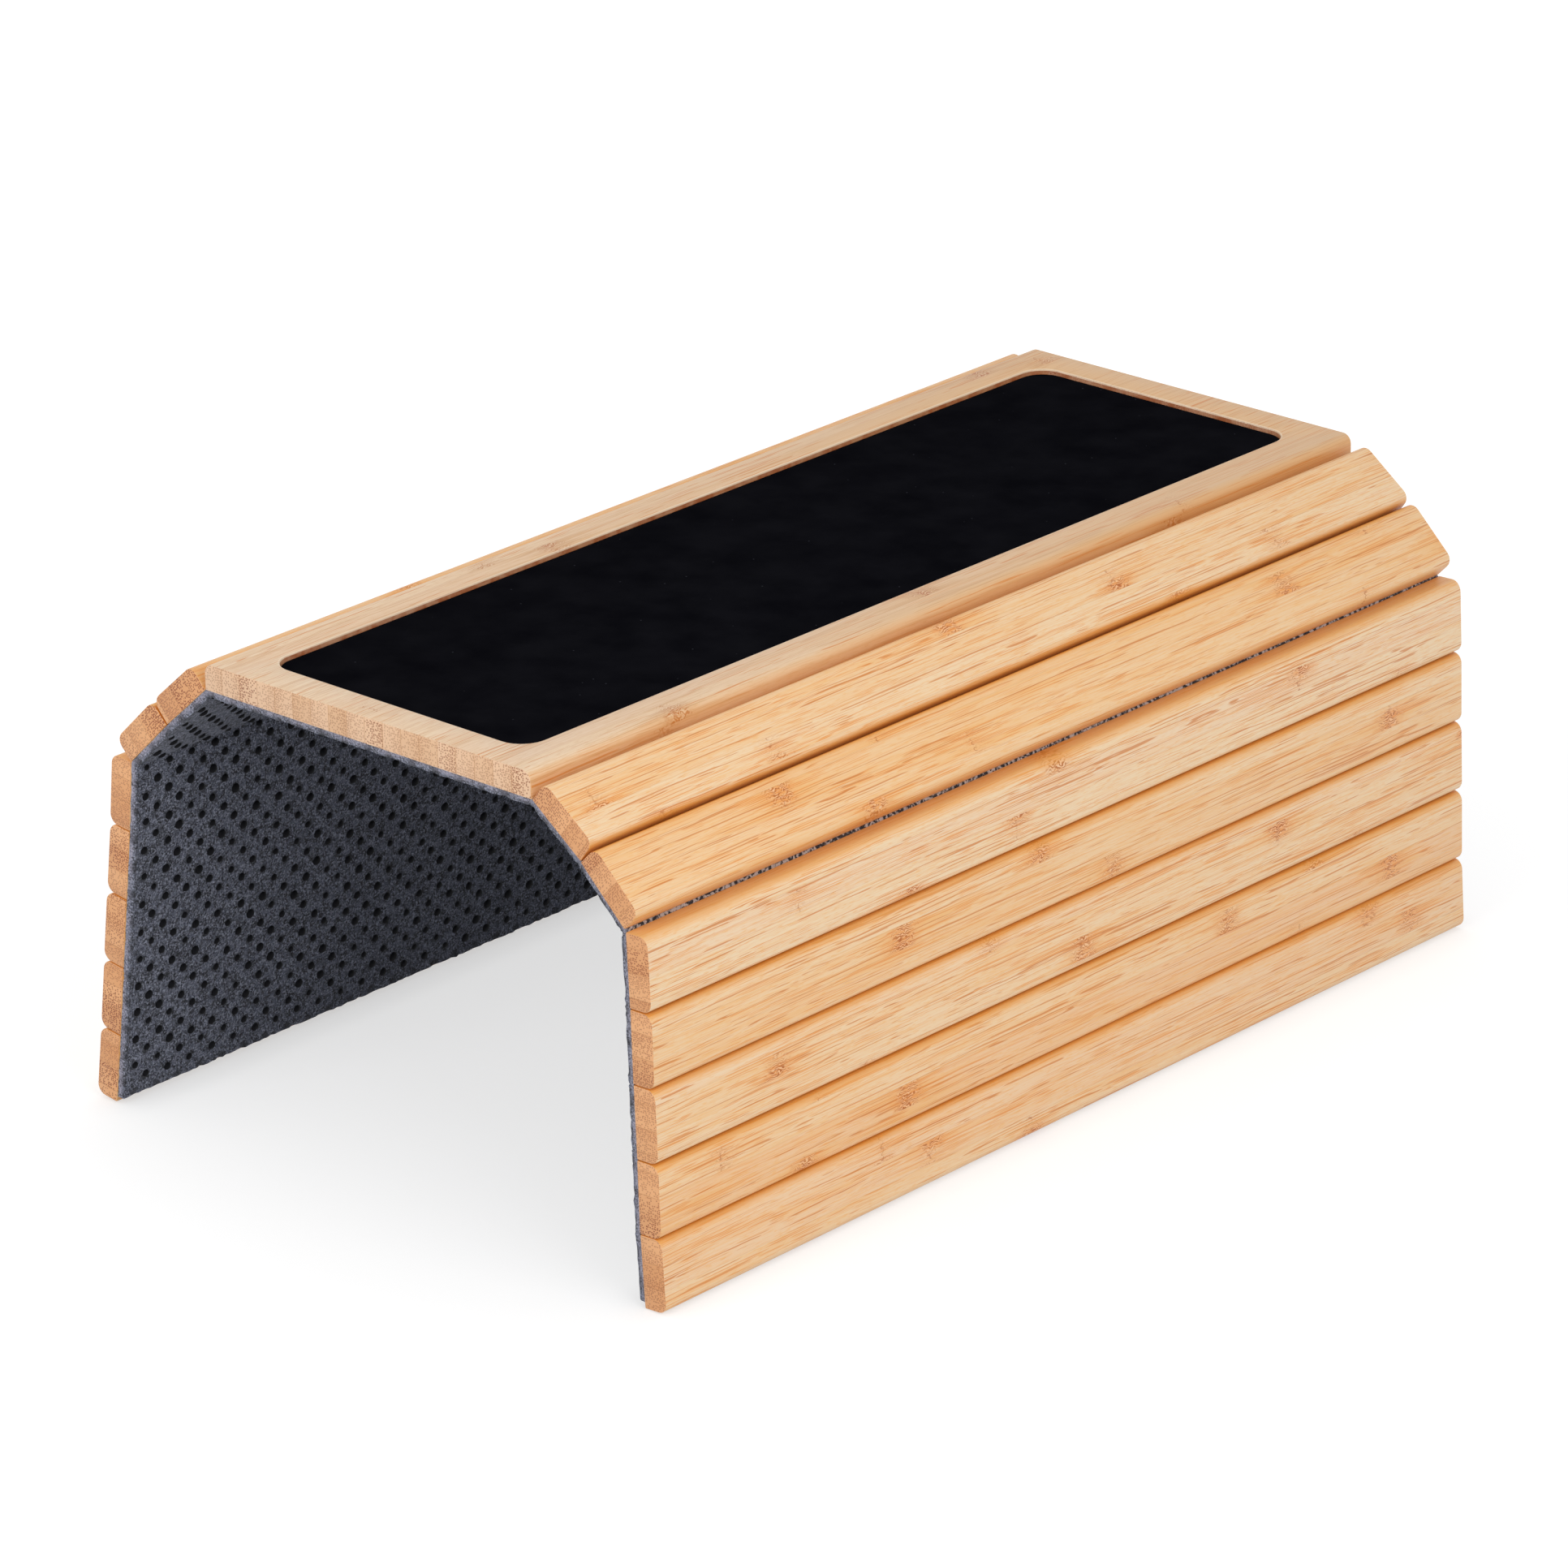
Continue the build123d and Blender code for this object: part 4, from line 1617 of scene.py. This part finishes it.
    @staticmethod
    def direction(azimuth: float, elevation: float) -> Vector:
        """The way from the tray to a place at an azimuth and elevation in degrees."""
        a, e = math.radians(azimuth), math.radians(elevation)
        return Vector((math.sin(a) * math.cos(e), -math.cos(a) * math.cos(e), math.sin(e)))

    def build_camera(self) -> bpy.types.Object:
        """Sets the camera at the photograph's angle.

        Returns:
            The camera.
        """
        data = bpy.data.cameras.new("camera")
        data.lens, data.sensor_width = self.lens_mm, self.sensor_mm
        camera = bpy.data.objects.new("camera", data)
        bpy.context.scene.collection.objects.link(camera)
        back = self.direction(self.azimuth, self.elevation)
        right = Vector((-back.y, back.x, 0.0)).normalized()
        up = back.cross(right)
        roll = math.radians(self.roll)
        side = right * math.cos(roll) + up * math.sin(roll)
        top = up * math.cos(roll) - right * math.sin(roll)
        turn = Matrix((side, top, back)).transposed().to_4x4()
        camera.matrix_world = Matrix.Translation(Vector(self.target) + back * self.distance) @ turn
        data.clip_start, data.clip_end = 0.05, 50.0
        bpy.context.scene.camera = camera
        return camera

    def build(self) -> None:
        """Builds the whole studio."""
        self.build_floor()
        self.build_world()
        for softbox in self.softboxes:
            self.add_softbox(softbox)
        self.build_camera()
        bpy.context.scene.view_settings.view_transform = "Standard"


def main() -> None:
    """Builds the tray and the studio, and reports each piece."""
    logging.basicConfig(level=logging.INFO, format="%(name)s: %(message)s")
    noise.seed_set(FRAY_SEED)
    # The board's bamboo is a little greyer than the slats', and its streaks are fainter.
    board_bamboo = LacqueredBamboo(
        "lacquered_bamboo_board", strip_mm=7.0, pale="EDD2B2", honey="DDB384", pink="E6C4A4", bundle="C58F5C",
        streak_strength=0.6, end="EBC4A0", end_dark="D9A878", end_strength=0.85, end_spread=0.5,
    )
    slat_bamboo = LacqueredBamboo("lacquered_bamboo_slats", strip_mm=7.2)
    board_wood, slat_wood = board_bamboo.material(), slat_bamboo.material()
    felt, grip = NeedleFelt().material(), PrintedGrip().material()

    board = CentreBoard()
    pieces = [board.build_board(board_bamboo, board_wood), board.build_pad(FlockedPad().material())]
    slat, dot = slat_tree(), dot_tree()
    for side in Side:
        flank = Flank(side, first_lot=1 if side is Side.LEFT else 8, seed=20 + side.value)
        pieces += flank.build_slats(slat, slat_bamboo, slat_wood)
        pieces += flank.build_felt(board.middle, felt, grip, dot)
    for piece in pieces:
        LOG.info("%s: %d faces", piece.name, len(piece.data.polygons))
    Studio().build()


if __name__ == "__main__":
    main()
